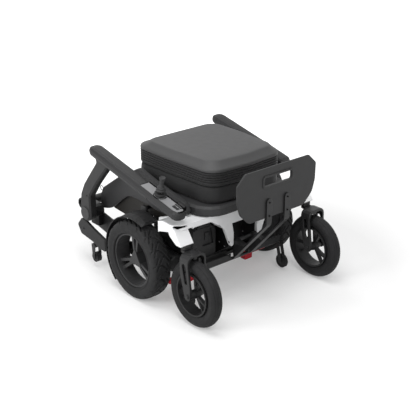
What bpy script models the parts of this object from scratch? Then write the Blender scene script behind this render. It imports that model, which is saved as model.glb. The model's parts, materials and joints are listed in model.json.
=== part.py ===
"""Folding power wheelchair, shown folded flat, as separate solids in metres with +Z up.

The origin is on the floor under the middle of the chair. The chair faces -Y, and its
joystick is on its right arm, on the -X side. Each function below makes one sub-part.
A side of +1 is the left of the chair and a side of -1 is its right.
"""
import math

import bmesh
import bpy
from mathutils import Matrix, Vector

# Clearances between pieces that touch or run in each other
SEAT_GAP = 0.0003
RUN_GAP = 0.0005

# Drive wheels
DRIVE_R = 0.1525
DRIVE_W = 0.077
DRIVE_X = 0.317
DRIVE_Y = 0.004
DRIVE_TYRE_H = 0.0475
DRIVE_BEAD_R = DRIVE_R - DRIVE_TYRE_H
DRIVE_RIM_WALL = 0.007
DRIVE_RIM_W = 0.060
DRIVE_HUB_TIP_R = 0.046
DRIVE_HUB_W = 0.034
DRIVE_SPOKES = 3

# Casters, swung forward of their stems as the folded chair was rolled back
CASTER_R = 0.125
CASTER_W = 0.052
CASTER_X = 0.302
CASTER_TRAIL = 0.055
STEM_Y = -0.253
CASTER_BEAD_R = 0.080
CASTER_RIM_WALL = 0.006
CASTER_HUB_R = 0.017
CASTER_SPOKES = 3
FORK_ARM_T = 0.010
FORK_FRONT_Y = -0.3125
FORK_BACK_Y = -0.2680
FORK_FOOT_R = 0.016
FORK_SLOT_R = 0.0095
STEM_R = 0.008
STEM_LEN = 0.0125
HOUSING_R = 0.017
HOUSING_H = 0.014
FORK_TOP_Z = 0.277
LEG_FOOT_Z = FORK_TOP_Z + HOUSING_H + 3 * SEAT_GAP

# Cast front frame
BEAM_LOW_Z = 0.294
BEAM_TOP_Z = 0.358
BAY_TOP_Z = 0.337
BAY_OUT_X = 0.256
BEAM_HALF_X = 0.330
LEG_W = 0.057
LEG_SLOT_Z = 0.3510
LEG_SLOT_R = 0.0045
LEG_SLOT_HALF = 0.019
LUG_TIP_X = 0.066
LUG_TIP_Z = 0.2235
LUG_TIP_R = 0.0135
LUG_T = 0.012
LUG_Y = -0.229

# Footrest
FOOT_PLATE_Y = -0.3945
FOOT_PLATE_T = 0.008
FOOT_LOW_Z = 0.3675
FOOT_TOP_Z = 0.554
FOOT_HALF_X = 0.193
FOOT_SLOT_HALF_X = 0.068
FOOT_SLOT_Z = 0.5035
FOOT_SLOT_H = 0.033
FOOT_LIP = 0.007
FOOT_LIP_T = 0.003
FOOT_BAR_X = 0.0445
FOOT_BAR_W = 0.025
FOOT_BAR_T = 0.006
FOOT_BAR_TOP_Z = 0.440
FOOT_BOLT_Z = (0.4264, 0.3763)
FOOT_BOLT_R = 0.0045
FOOT_PIN_R = 0.004

# Chassis under the seat, with the two battery bays
SPINE_HALF_X = 0.104
CHASSIS_FRONT_Y = -0.140
CHASSIS_REAR_Y = 0.060
TRAY_Z = 0.1285
TRAY_T = 0.012
TRAY_HALF_X = 0.200

# Battery packs
PACK_OUT_X = 0.197
PACK_FRONT_Y = -0.190
PACK_REAR_Y = 0.035
PACK_TOP_Z = 0.308
PACK_LIP_Y = -0.2225
PACK_LIP_TOP_Z = 0.171
PACK_LIP_IN_X = 0.0595
BEZEL_OUT_X = 0.218

# Seat pan and cushion
PAN_TOP_Z = 0.397
PAN_LOW_Z = 0.3585
PAN_FRONT_Y = -0.269
PAN_REAR_Y = 0.192
PAN_HALF_X = 0.218
PAN_CORNER_R = 0.095
WING_STEP = 0.0215
WING_OUT_X = PAN_HALF_X + WING_STEP
WING_T = 0.020
SKIRT_T = 0.020
ARCH_TOP_Z = 0.338
CUSHION_HALF_X = 0.190
CUSHION_TAPER = 0.014
CUSHION_FRONT_Y = -0.260
CUSHION_BOW = 0.014
CUSHION_REAR_Y = 0.181
CUSHION_CORNER_R = 0.062
SEAT_TOP_Z = 0.4620

# Backrest, folded on the seat
BACK_SEAM_Z = 0.5140
BACK_BEAD_H = 0.0150
BACK_TOP_Z = 0.5520
BACK_BEVEL_SIDE = 0.023
BACK_BEVEL_FRONT = 0.029
BACK_BEVEL_REAR = 0.046
BACK_GROOVES = 4
BACK_GROOVE_DEPTH = 0.0030
BACK_PIVOT_Y = 0.2035
BACK_PIVOT_Z = 0.455
BACK_ARM_X = 0.085
BACK_ARM_T = 0.012
BACK_KNUCKLE_R = 0.012
BACK_PIN_R = 0.004

# Rear frame, which swings under the seat
FRAME_PIVOT_Y = 0.052
FRAME_PIVOT_Z = 0.318
FRAME_PIN_R = 0.007
SIDE_PLATE_X = 0.243
SIDE_PLATE_T = 0.009
ARM_OUT_X = 0.315
ARM_T = 0.012
TUBE_Y = 0.4105
TUBE_Z = 0.240
TUBE_R = 0.019
TUBE_WALL = 0.003

# Motors and mudguards
MOTOR_X = 0.237
MOTOR_R = 0.035
MOTOR_FRONT_Y = -0.125
GEARBOX_R = 0.045
GEARBOX_IN_X = 0.2015
AXLE_R = 0.0085
GUARD_GAP = 0.0125
GUARD_R = DRIVE_R + GUARD_GAP
GUARD_T = 0.0035
GUARD_W = 0.0735
GUARD_IN_X = 0.2720
COVER_T = 0.010
COVER_ANGLES = (62, 68, 74, 80, 88, 96, 104, 110, 112)
COVER_SWELLS = (0.15, 0.45, 0.75, 0.92, 1.0, 1.0, 1.0, 0.95, 0.5)

# Armrests
POST_IN_X = 0.291
POST_T = 0.034
TUBE_HALF_X = POST_IN_X - 0.002
POST_PIVOT_Y = 0.332
POST_PIVOT_Z = 0.232
POST_PIVOT_R = 0.034
POST_PIN_R = 0.010
CAP_R = 0.027
CAP_T = 0.003
PAD_X = 0.308
PAD_W = 0.058
PAD_H = 0.040
PAD_SLOPE = math.radians(12.5)
PAD_REF_Y = 0.100
PAD_REF_Z = 0.469
PAD_REAR_Y = 0.285
PAD_SEAM_Y = -0.030
PAD_LEFT_FRONT_Y = -0.124
MODULE_FRONT_Y = -0.245

# Joystick
PANEL_W = 0.038
PANEL_T = 0.0025
PANEL_TOP = PAD_H / 2 * 0.90
STICK_Y = -0.119
PIVOT_RISE = 0.005
BOOT_R = 0.0225
BOOT_NECK_R = 0.0160
BOOT_TOP = 0.0077
BOOT_SINK = 0.0110
DOME_R = 0.0125
BELL_GAP = 0.0025
STICK_R = 0.0030
STICK_LEN = 0.069
KNOB_R = 0.0118
GIMBAL_R = 0.003
GIMBAL_CAVITY_R = 0.009
BUTTON_Y = (-0.196, -0.214)
BUTTON_W = 0.012
BUTTON_L = 0.010
BUTTON_TRAVEL = 0.0012

# Small wheels and levers
FRONT_ROLLER = (0.240, -0.196, 0.039)
FRONT_ROLLER_R = 0.028
FRONT_ROLLER_W = 0.014
REAR_ROLLER = (0.298, 0.306, 0.045)
REAR_ROLLER_R = 0.020
REAR_ROLLER_W = 0.022
ROLLER_PIN_R = 0.003
LEVER_Y = -0.083
LEVER_X = 0.152
LEVER_Z = 0.0575
LEVER_TIP_X = 0.250
LEVER_PIN_R = 0.005
RING_PLACE = (0.334, 0.3165)
RING_R = 0.009
RING_WIRE_R = 0.0016

# Facets
WHEEL_STEPS = 36
CASTER_STEPS = 32
ROUND_STEPS = 16

PARTS = "folding_power_wheelchair"
CUTTERS = "cutters"


def clear_scene():
    """Empty the file and make one collection for the parts and one for the cutters."""
    for item in list(bpy.data.objects):
        bpy.data.objects.remove(item, do_unlink=True)
    for name in (PARTS, CUTTERS):
        group = bpy.data.collections.new(name)
        bpy.context.scene.collection.children.link(group)


def finish(name, rgb, roughness, metallic=0.0):
    """Return the named Principled material, made on its first use."""
    known = bpy.data.materials.get(name)
    if known:
        return known
    made = bpy.data.materials.new(name)
    made.use_nodes = True
    shader = made.node_tree.nodes["Principled BSDF"]
    shader.inputs["Base Color"].default_value = (*rgb, 1.0)
    shader.inputs["Roughness"].default_value = roughness
    shader.inputs["Metallic"].default_value = metallic
    made.diffuse_color = (*rgb, 1.0)
    return made


def white_cast():
    return finish("white_cast_frame", (0.80, 0.81, 0.83), 0.35)


def black_plastic():
    return finish("black_plastic", (0.042, 0.042, 0.044), 0.50)


def grey_plastic():
    return finish("grey_plastic", (0.070, 0.070, 0.072), 0.45)


def black_metal():
    return finish("black_metal", (0.030, 0.030, 0.032), 0.40, 0.6)


def rubber():
    return finish("tyre_rubber", (0.040, 0.040, 0.042), 0.80)


def fabric():
    return finish("seat_fabric", (0.055, 0.055, 0.057), 0.90)


def steel():
    return finish("steel", (0.45, 0.45, 0.46), 0.30, 1.0)


def red_plastic():
    return finish("red_plastic", (0.58, 0.020, 0.035), 0.40)


def light_panel():
    return finish("light_panel", (0.36, 0.36, 0.37), 0.40)


def new_object(name, mesh, surface):
    """Put a mesh in the parts collection under its name."""
    item = bpy.data.objects.new(name, mesh)
    if surface:
        mesh.materials.clear()
        mesh.materials.append(surface)
    bpy.data.collections[PARTS].objects.link(item)
    return item


def smooth(item, degrees=35.0):
    """Shade a piece smooth with its sharp edges kept."""
    item.data.shade_smooth()
    item.data.set_sharp_from_angle(angle=math.radians(degrees))
    return item


def mesh_from(name, source, surface, matrix=None):
    """Turn a built object into a plain closed mesh with outward faces, and drop the source."""
    bpy.context.view_layer.update()
    seen = bpy.context.evaluated_depsgraph_get()
    mesh = bpy.data.meshes.new_from_object(source.evaluated_get(seen))
    mesh.transform(matrix if matrix else source.matrix_world)
    body = bmesh.new()
    body.from_mesh(mesh)
    bmesh.ops.remove_doubles(body, verts=body.verts, dist=1e-6)
    bmesh.ops.dissolve_degenerate(body, dist=1e-7, edges=body.edges)
    bmesh.ops.dissolve_limit(body, angle_limit=0.001, verts=body.verts, edges=body.edges)
    bmesh.ops.recalc_face_normals(body, faces=body.faces)
    body.to_mesh(mesh)
    body.free()
    bpy.data.objects.remove(source, do_unlink=True)
    return smooth(new_object(name, mesh, surface))


def scratch_object(data):
    """Link a curve or mesh that is only a step on the way."""
    item = bpy.data.objects.new("step", data)
    bpy.context.scene.collection.objects.link(item)
    return item


def rounded(corners, arc=3):
    """Return an outline whose corners (u, v, radius) are filleted with arcs."""
    outline = []
    count = len(corners)
    for index, (u, v, radius) in enumerate(corners):
        here = Vector((u, v))
        back = Vector(corners[index - 1][:2]) - here
        ahead = Vector(corners[(index + 1) % count][:2]) - here
        if radius <= 0.0:
            outline.append((u, v))
            continue
        half = back.angle(ahead) / 2.0
        reach = min(radius / math.tan(half), 0.49 * back.length, 0.49 * ahead.length)
        size = reach * math.tan(half)
        centre = here + (back.normalized() + ahead.normalized()).normalized() * (size / math.sin(half))
        start = here + back.normalized() * reach - centre
        turn = start.angle_signed(here + ahead.normalized() * reach - centre)
        for step in range(arc + 1):
            spoke = start.copy()
            spoke.rotate(Matrix.Rotation(-turn * step / arc, 2))
            outline.append(tuple(centre + spoke))
    return outline


def hull_of_circles(first, second, arc=5):
    """Return the outline of a strap between two circles (u, v, radius)."""
    a = Vector(first[:2])
    b = Vector(second[:2])
    along = (b - a).normalized()
    lean = math.asin((first[2] - second[2]) / (b - a).length)
    outline = []
    base = math.atan2(along.y, along.x)
    for centre, radius, start in ((b, second[2], -math.pi / 2 + lean), (a, first[2], math.pi / 2 - lean)):
        sweep = (math.pi - 2 * lean) if centre is b else (math.pi + 2 * lean)
        for step in range(arc + 1):
            angle = base + start + sweep * step / arc
            outline.append((centre.x + radius * math.cos(angle), centre.y + radius * math.sin(angle)))
    return outline


AXES = {
    "X": Matrix(((0, 0, 1, 0), (1, 0, 0, 0), (0, 1, 0, 0), (0, 0, 0, 1))),
    "Y": Matrix(((1, 0, 0, 0), (0, 0, 1, 0), (0, 1, 0, 0), (0, 0, 0, 1))),
    "Z": Matrix.Identity(4),
}


def plate(name, outline, axis, low, high, surface=None):
    """Extrude an outline from low to high along an axis.

    The outline is (y, z) along X, (x, z) along Y and (x, y) along Z.
    """
    low, high = min(low, high), max(low, high)
    curve = bpy.data.curves.new("outline", "CURVE")
    curve.dimensions = "2D"
    curve.fill_mode = "BOTH"
    curve.extrude = (high - low) / 2
    spline = curve.splines.new("POLY")
    spline.points.add(len(outline) - 1)
    for point, (u, v) in zip(spline.points, outline):
        point.co = (u, v, 0.0, 1.0)
    spline.use_cyclic_u = True
    shift = Matrix.Translation((0, 0, (low + high) / 2))
    return mesh_from(name, scratch_object(curve), surface, AXES[axis] @ shift)


def box(name, low, high, surface=None):
    """Make a box from two corners, in any order of each coordinate."""
    mesh = bpy.data.meshes.new(name)
    body = bmesh.new()
    bmesh.ops.create_cube(body, size=1.0)
    size = [abs(b - a) for a, b in zip(low, high)]
    middle = [(a + b) / 2 for a, b in zip(low, high)]
    bmesh.ops.scale(body, vec=size, verts=body.verts)
    bmesh.ops.translate(body, vec=middle, verts=body.verts)
    body.to_mesh(mesh)
    body.free()
    return new_object(name, mesh, surface)


def rod(name, start, end, radius, surface=None, steps=ROUND_STEPS, end_radius=None):
    """Make a cylinder or cone between two points."""
    start = Vector(start)
    end = Vector(end)
    mesh = bpy.data.meshes.new(name)
    body = bmesh.new()
    along = end - start
    turn = along.to_track_quat("Z", "Y").to_matrix().to_4x4()
    bmesh.ops.create_cone(
        body, cap_ends=True, segments=steps, radius1=radius,
        radius2=radius if end_radius is None else end_radius, depth=along.length,
        matrix=Matrix.Translation((start + end) / 2) @ turn,
    )
    body.to_mesh(mesh)
    body.free()
    return smooth(new_object(name, mesh, surface))


def turned(name, profile, centre, direction, surface=None, steps=WHEEL_STEPS):
    """Turn a closed profile of (radius, height) points about a direction through a centre."""
    mesh = bpy.data.meshes.new("profile")
    body = bmesh.new()
    corners = [body.verts.new((radius, 0.0, height)) for radius, height in profile]
    for index, corner in enumerate(corners):
        body.edges.new((corners[index - 1], corner))
    body.to_mesh(mesh)
    body.free()
    step = scratch_object(mesh)
    screw = step.modifiers.new("turn", "SCREW")
    screw.axis = "Z"
    screw.angle = 2 * math.pi
    screw.steps = steps
    screw.render_steps = steps
    screw.use_merge_vertices = True
    screw.merge_threshold = 1e-5
    turn = Vector(direction).to_track_quat("Z", "Y").to_matrix().to_4x4()
    return mesh_from(name, step, surface, Matrix.Translation(centre) @ turn)


def loft(name, rings, surface=None):
    """Join rings of equal count into one closed skin with flat ends."""
    mesh = bpy.data.meshes.new(name)
    body = bmesh.new()
    loops = [[body.verts.new(point) for point in ring] for ring in rings]
    count = len(loops[0])
    for lower, upper in zip(loops, loops[1:]):
        for k in range(count):
            body.faces.new((lower[k - 1], lower[k], upper[k], upper[k - 1]))
    body.faces.new(loops[0])
    body.faces.new(loops[-1])
    bmesh.ops.recalc_face_normals(body, faces=body.faces)
    body.to_mesh(mesh)
    body.free()
    return smooth(new_object(name, mesh, surface))


def tube(name, points, radius, surface=None, sides=2, closed=False):
    """Make a round wire or bar along points."""
    curve = bpy.data.curves.new("wire", "CURVE")
    curve.dimensions = "3D"
    curve.bevel_depth = radius
    curve.bevel_resolution = sides
    curve.use_fill_caps = not closed
    spline = curve.splines.new("POLY")
    spline.points.add(len(points) - 1)
    for point, place in zip(spline.points, points):
        point.co = (*place, 1.0)
    spline.use_cyclic_u = closed
    return mesh_from(name, scratch_object(curve), surface)


def soften(item, width, segments=2, degrees=40.0):
    """Round the sharp edges of a piece."""
    bevel = item.modifiers.new("rounding", "BEVEL")
    bevel.width = width
    bevel.segments = segments
    bevel.limit_method = "ANGLE"
    bevel.angle_limit = math.radians(degrees)
    bevel.use_clamp_overlap = True
    return item


def operand(item):
    """Move a piece to the cutters, hidden from renders."""
    for group in list(item.users_collection):
        group.objects.unlink(item)
    bpy.data.collections[CUTTERS].objects.link(item)
    item.hide_render = True
    item.display_type = "WIRE"
    return item


def boolean(item, other, kind):
    step = item.modifiers.new(kind.lower(), "BOOLEAN")
    step.operation = kind
    step.solver = "EXACT"
    step.object = operand(other)
    return item


def cut(item, *others):
    """Take the other shapes out of a piece."""
    for other in others:
        boolean(item, other, "DIFFERENCE")
    return item


def join(item, *others):
    """Fuse other shapes onto a piece."""
    for other in others:
        boolean(item, other, "UNION")
    return item


def keep_common(item, other):
    """Keep only what a piece shares with another shape."""
    return boolean(item, other, "INTERSECT")


def pivot(name, place, parent=None):
    """Make an empty on a joint's axis."""
    empty = bpy.data.objects.new(name, None)
    empty.empty_display_size = 0.02
    bpy.data.collections[PARTS].objects.link(empty)
    if parent:
        empty.parent = parent
        empty.location = Vector(place) - world_place(parent)
    else:
        empty.location = place
    return empty


def world_place(empty):
    """Return where an empty stands, summed along its parents."""
    place = empty.location.copy()
    while empty.parent:
        empty = empty.parent
        place += empty.location
    return place


def hang(empty, *items):
    """Carry pieces on an empty, with their origins on its axis."""
    shift = Matrix.Translation(-world_place(empty))
    for item in items:
        item.data.transform(shift)
        item.parent = empty


def side_name(side):
    return "left" if side > 0 else "right"


def pad_mid_z(y):
    """Height of the armrest's middle line, which drops towards the front."""
    return PAD_REF_Z + (y - PAD_REF_Y) * math.tan(PAD_SLOPE)


def arc_points(centre, radius, start, end, steps):
    """Return points of an arc in a plane, with angles in degrees."""
    return [
        (
            centre[0] + radius * math.cos(math.radians(start + (end - start) * k / steps)),
            centre[1] + radius * math.sin(math.radians(start + (end - start) * k / steps)),
        )
        for k in range(steps + 1)
    ]


# Wheels

def drive_tyre(side):
    """Fat square-shouldered tyre of a drive wheel."""
    half = DRIVE_W / 2
    bead_half = DRIVE_RIM_W / 2 + 0.004
    right_half = [
        (DRIVE_BEAD_R, bead_half),
        (DRIVE_BEAD_R + 0.022, half),
        (DRIVE_R - 0.013, half - 0.0005),
        (DRIVE_R - 0.005, half - 0.005),
        (DRIVE_R, half - 0.013),
    ]
    profile = right_half + [(radius, -height) for radius, height in reversed(right_half)]
    centre = (side * DRIVE_X, DRIVE_Y, DRIVE_R)
    return turned("drive_tyre_" + side_name(side), profile, centre, (1, 0, 0), rubber())


def drive_rim(side):
    """Rim ring, three split spokes and a three-cornered hub with its axle stub."""
    centre = (side * DRIVE_X, DRIVE_Y, DRIVE_R)
    outer = DRIVE_BEAD_R - SEAT_GAP
    inner = outer - DRIVE_RIM_WALL
    half = DRIVE_RIM_W / 2
    profile = [(inner, half), (outer, half), (outer, -half), (inner, -half)]
    rim = turned("drive_rim_" + side_name(side), profile, centre, (1, 0, 0), grey_plastic())
    face_x = side * (DRIVE_X + DRIVE_HUB_W / 2)
    back_x = side * (DRIVE_X - DRIVE_HUB_W / 2)
    thick = DRIVE_HUB_W / 2 - 0.003
    for spoke in range(DRIVE_SPOKES):
        lean = math.radians(90 + 360 / DRIVE_SPOKES * spoke)
        for spread in (-1, 1):
            foot = lean + math.radians(9 * spread)
            root = lean + math.radians(11 * spread)
            start = (DRIVE_Y + 0.034 * math.cos(root), DRIVE_R + 0.034 * math.sin(root), 0.0050)
            reach = inner - 0.0020
            end = (DRIVE_Y + reach * math.cos(foot), DRIVE_R + reach * math.sin(foot), 0.0062)
            join(rim, plate("rib", hull_of_circles(start, end, 2), "X", side * (DRIVE_X - thick),
                            side * (DRIVE_X + thick)))
    star = []
    for spoke in range(DRIVE_SPOKES):
        lean = math.radians(90 + 360 / DRIVE_SPOKES * spoke)
        for radius, turn, fillet in ((DRIVE_HUB_TIP_R, 0.0, 0.006), (0.021, math.pi / DRIVE_SPOKES, 0.010)):
            star.append((DRIVE_Y + radius * math.cos(lean + turn), DRIVE_R + radius * math.sin(lean + turn),
                         fillet))
    hub = plate("hub", rounded(star, 3), "X", back_x, face_x)
    join(rim, hub)
    stub_end = side * (GEARBOX_IN_X + 0.012)
    join(rim, rod("stub", (stub_end, DRIVE_Y, DRIVE_R), (side * (DRIVE_X - 0.005), DRIVE_Y, DRIVE_R), AXLE_R))
    return rim


def caster_centre(side):
    """Middle of a caster wheel, ahead of its stem by the trail."""
    return (side * CASTER_X, STEM_Y - CASTER_TRAIL, CASTER_R)


def caster_tyre(side):
    """Round tyre with a flat at the middle of its tread."""
    half = CASTER_W / 2
    bulge = (CASTER_R - CASTER_BEAD_R) * 0.55
    profile = [(CASTER_BEAD_R, half * 0.62)]
    for angle in (-25, 18, 55):
        lean = math.radians(angle)
        profile.append((CASTER_R - bulge + bulge * math.sin(lean), half * math.cos(lean)))
    profile.append((CASTER_R, half * 0.12))
    mirrored = [(radius, -height) for radius, height in reversed(profile)]
    centre = caster_centre(side)
    return turned("caster_tyre_" + side_name(side), profile + mirrored, centre, (1, 0, 0), rubber(),
                  CASTER_STEPS)


def caster_rim(side):
    """Caster rim with double spokes and a hub cone."""
    x, y, z = caster_centre(side)
    outer = CASTER_BEAD_R - SEAT_GAP
    inner = outer - CASTER_RIM_WALL
    half = CASTER_W * 0.46
    profile = [(inner, half), (outer, half), (outer, -half), (inner, -half)]
    rim = turned("caster_rim_" + side_name(side), profile, (x, y, z), (1, 0, 0), grey_plastic(), CASTER_STEPS)
    hub_half = CASTER_W / 2 + 0.004
    hub = [(FOOT_PIN_R + RUN_GAP, hub_half), (0.011, hub_half), (CASTER_HUB_R, 0.008), (CASTER_HUB_R, -0.008),
           (0.011, -hub_half), (FOOT_PIN_R + RUN_GAP, -hub_half)]
    for spoke in range(CASTER_SPOKES):
        lean = math.radians(360 / CASTER_SPOKES * spoke - 19)
        for spread in (-1, 1):
            foot = lean + math.radians(14 * spread)
            start = (y + 0.014 * math.cos(lean), z + 0.014 * math.sin(lean), 0.005)
            reach = inner + 0.0005
            end = (y + reach * math.cos(foot), z + reach * math.sin(foot), 0.0035)
            join(rim, plate("rib", hull_of_circles(start, end, 2), "X", x - 0.007, x + 0.007))
    join(rim, turned("hub", hub, (x, y, z), (1, 0, 0), None, ROUND_STEPS))
    cut(rim, rod("bore", (x - 0.05, y, z), (x + 0.05, y, z), FOOT_PIN_R + RUN_GAP, None, 16))
    return rim


def caster_fork(side):
    """Fork with broad slotted arms that taper to the axle, and a tongue back to its stem."""
    x, axle_y, axle_z = caster_centre(side)
    half_in = CASTER_W / 2 + 0.0065
    half_out = half_in + FORK_ARM_T
    top = FORK_TOP_Z
    low = axle_z - 0.03
    arch = rounded([
        (x - half_out, low, 0), (x - half_out, top, 0.024), (x + half_out, top, 0.024),
        (x + half_out, low, 0),
        (x + half_in, low, 0), (x + half_in, top - 0.010, 0.016), (x - half_in, top - 0.010, 0.016),
        (x - half_in, low, 0),
    ])
    fork = plate("caster_fork_" + side_name(side), arch, "Y", axle_y - 0.05, STEM_Y + 0.06, black_metal())
    foot_front = axle_y - FORK_FOOT_R
    foot = arc_points((axle_y, axle_z), FORK_FOOT_R, 165, 360, 6)
    profile = [(FORK_FRONT_Y, top + 0.01, 0), (FORK_FRONT_Y, top - 0.04, 0.05),
               (foot_front, axle_z + 0.03, 0)]
    profile += [(y, z, 0) for y, z in foot]
    profile += [(FORK_BACK_Y - 0.002, 0.205, 0.05), (FORK_BACK_Y, top + 0.01, 0)]
    keep_common(fork, plate("side_view", rounded(profile), "X", x - 0.06, x + 0.06))
    slot = hull_of_circles((-0.2910, 0.2350, FORK_SLOT_R), (-0.3015, 0.1760, FORK_SLOT_R * 0.72), 4)
    cut(fork, plate("slot", slot, "X", x - 0.06, x + 0.06))
    soften(fork, 0.0015, 1, 60)
    tongue_rear = STEM_Y + HOUSING_R
    tongue = rounded([
        (x - HOUSING_R, FORK_FRONT_Y + 0.012, 0), (x + HOUSING_R, FORK_FRONT_Y + 0.012, 0),
        (x + HOUSING_R, tongue_rear, HOUSING_R * 0.95), (x - HOUSING_R, tongue_rear, HOUSING_R * 0.95),
    ])
    join(fork, plate("tongue", tongue, "Z", top - 0.0095, top - 0.0005))
    join(fork, rod("stem", (x, STEM_Y, top - 0.004), (x, STEM_Y, top + STEM_LEN), STEM_R, None, 16))
    boss_z = top - 0.0155
    join(fork, rod("boss", (x, FORK_FRONT_Y + 0.008, boss_z), (x, FORK_BACK_Y - 0.006, boss_z), 0.0085,
                   None, 12))
    join(fork, rod("axle", (x - half_out - 0.003, axle_y, axle_z), (x + half_out + 0.003, axle_y, axle_z),
                   FOOT_PIN_R, None, 16))
    for hand in (-1, 1):
        join(fork, rod("nut", (x + hand * (half_out - 0.001), axle_y, axle_z),
                       (x + hand * (half_out + 0.0035), axle_y, axle_z), 0.009, None, 6))
    return fork


def stem_housing(side):
    """Black bearing block under a leg of the front frame."""
    low = FORK_TOP_Z + SEAT_GAP * 2
    x = side * CASTER_X
    name = "stem_housing_" + side_name(side)
    block = rod(name, (x, STEM_Y, low), (x, STEM_Y, low + HOUSING_H), HOUSING_R, black_metal())
    return cut(block, rod("bore", (x, STEM_Y, low - 0.01), (x, STEM_Y, low + STEM_LEN), STEM_R + SEAT_GAP,
                          None, 20))


# Front frame and footrest

def front_frame():
    """One cast frame: a bowed cross beam, side rails, two caster legs and two footrest lugs."""
    front = [(-0.267, -0.060, 0.0), (-0.268, -0.113, 0.010), (-0.324, -0.124, 0.008),
             (-BEAM_HALF_X, -0.208, 0.020),
             (-0.300, -0.2350, 0.040), (-0.120, -0.2410, 0.10)]
    back = [(-0.060, -0.195, 0.05), (-0.190, -0.165, 0.05), (-0.232, -0.130, 0.03), (-0.236, -0.060, 0.0)]
    outline = front + [(-x, y, r) for x, y, r in reversed(front)]
    outline += [(-x, y, r) for x, y, r in reversed(back)] + back
    frame = plate("front_frame", rounded(outline, 4), "Z", BEAM_LOW_Z - 0.02, BEAM_TOP_Z, white_cast())
    cut(frame, box("middle", (-0.095, -0.30, 0.25), (0.095, -0.10, BEAM_LOW_Z + 0.010)))
    for side in (-1, 1):
        bay = rounded([
            (side * 0.090, 0.20, 0), (side * 0.090, BEAM_LOW_Z - 0.003, 0),
            (side * 0.112, BEAM_LOW_Z - 0.003, 0.006),
            (side * 0.132, 0.3140, 0.010), (side * 0.146, 0.3190, 0.010), (side * 0.172, BAY_TOP_Z, 0.020),
            (side * BAY_OUT_X, BAY_TOP_Z, 0.010), (side * BAY_OUT_X, 0.20, 0),
        ])
        cut(frame, plate("bay", bay, "Y", -0.30, -0.05))
        slope = rounded([(-0.055, 0.322, 0), (-0.055, 0.42, 0), (-0.16, 0.42, 0),
                         (-0.165, BEAM_TOP_Z + 0.003, 0)])
        cut(frame, plate("slope", slope, "X", side * 0.212, side * 0.35))
        under = rounded([(-0.05, 0.286, 0), (-0.110, 0.296, 0.02), (-0.138, 0.312, 0.03), (-0.225, 0.337, 0),
                         (-0.26, 0.345, 0), (-0.26, 0.24, 0), (-0.05, 0.24, 0)])
        cut(frame, plate("under", under, "X", side * (BAY_OUT_X - 0.002), side * 0.35))
        leg = rounded([
            (STEM_Y - 0.0105, LEG_FOOT_Z, 0.002), (STEM_Y + 0.018, LEG_FOOT_Z, 0.004),
            (-0.200, 0.3150, 0.020),
            (-0.186, 0.3440, 0), (-0.2245, 0.3480, 0),
        ])
        join(frame, plate("leg", leg, "X", side * (CASTER_X - LEG_W / 2), side * (CASTER_X + LEG_W / 2)))
        slot = hull_of_circles((side * (CASTER_X - LEG_SLOT_HALF), LEG_SLOT_Z, LEG_SLOT_R),
                               (side * (CASTER_X + LEG_SLOT_HALF), LEG_SLOT_Z, LEG_SLOT_R), 3)
        cut(frame, plate("slot", slot, "Y", -0.26, -0.205))
        inner = FOOT_BAR_X + FOOT_BAR_W / 2 + 0.002
        lug = rounded([
            (side * 0.112, BEAM_LOW_Z + 0.012, 0), (side * (LUG_TIP_X + 0.012), LUG_TIP_Z - 0.002, 0.012),
            (side * (LUG_TIP_X + 0.006), LUG_TIP_Z - LUG_TIP_R, 0.006),
            (side * inner, LUG_TIP_Z - LUG_TIP_R, 0.006),
            (side * inner, 0.262, 0.010), (side * 0.068, BEAM_LOW_Z + 0.012, 0),
        ])
        join(frame, plate("lug", lug, "Y", LUG_Y - LUG_T / 2, LUG_Y + LUG_T / 2))
    reach = LUG_TIP_X + 0.009
    cut(frame, rod("pin_bore", (-reach, LUG_Y, LUG_TIP_Z), (reach, LUG_Y, LUG_TIP_Z), FOOT_PIN_R + SEAT_GAP,
                   None, 16))
    return frame


def footplate_pin():
    """Steel hinge pin held in the two lugs."""
    reach = LUG_TIP_X + 0.008
    return rod("footplate_pin", (-reach, LUG_Y, LUG_TIP_Z), (reach, LUG_Y, LUG_TIP_Z), FOOT_PIN_R, steel(),
               16)


def footrest_bracket():
    """Black bracket behind the lugs: two cheeks and a cross panel."""
    outline = rounded([
        (-0.2225, 0.292, 0), (-0.2225, 0.205, 0.01), (-0.150, 0.156, 0.006),
        (CHASSIS_FRONT_Y - SEAT_GAP, 0.156, 0),
        (CHASSIS_FRONT_Y - SEAT_GAP, 0.300, 0.008), (-0.190, 0.2935, 0.0),
    ], 4)
    bracket = plate("footrest_bracket", outline, "X", -0.070, 0.070, black_plastic())
    cut(bracket, box("middle", (-0.0615, -0.30, 0.10), (0.0615, CHASSIS_FRONT_Y - 0.008, 0.35)))
    return bracket


def foot_bar_outline():
    """Side outline of a footplate bar: strap, bend, lower run and hinge ear."""
    face_y = FOOT_PLATE_Y - SEAT_GAP
    front_y = face_y - FOOT_BAR_T
    lean = math.radians(48)
    run = Vector((math.cos(lean), -math.sin(lean)))
    low_front = Vector((-0.2290, 0.1500))
    square = Vector((math.sin(lean), math.cos(lean))) * FOOT_BAR_T
    bend_front = low_front + run * ((front_y - low_front.x) / run.x)
    bend_back = Vector((face_y, 0.0))
    low_back = low_front + square
    bend_back.y = low_back.y + (face_y - low_back.x) / run.x * run.y
    ear = arc_points((LUG_Y, LUG_TIP_Z), 0.0095, 120, -40, 6)
    outline = [(front_y, FOOT_BAR_TOP_Z, 0.0), (face_y, FOOT_BAR_TOP_Z, 0.0),
               (bend_back.x, bend_back.y, 0.020)]
    start = low_back - run * 0.090
    outline.append((start.x, start.y, 0.004))
    outline += [(y, z, 0.0) for y, z in ear]
    end = low_back - run * 0.012
    outline += [(end.x, end.y, 0.004), (low_back.x, low_back.y, 0.0), (low_front.x, low_front.y, 0.0)]
    outline.append((bend_front.x, bend_front.y, 0.026))
    return rounded(outline, 5)


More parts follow.
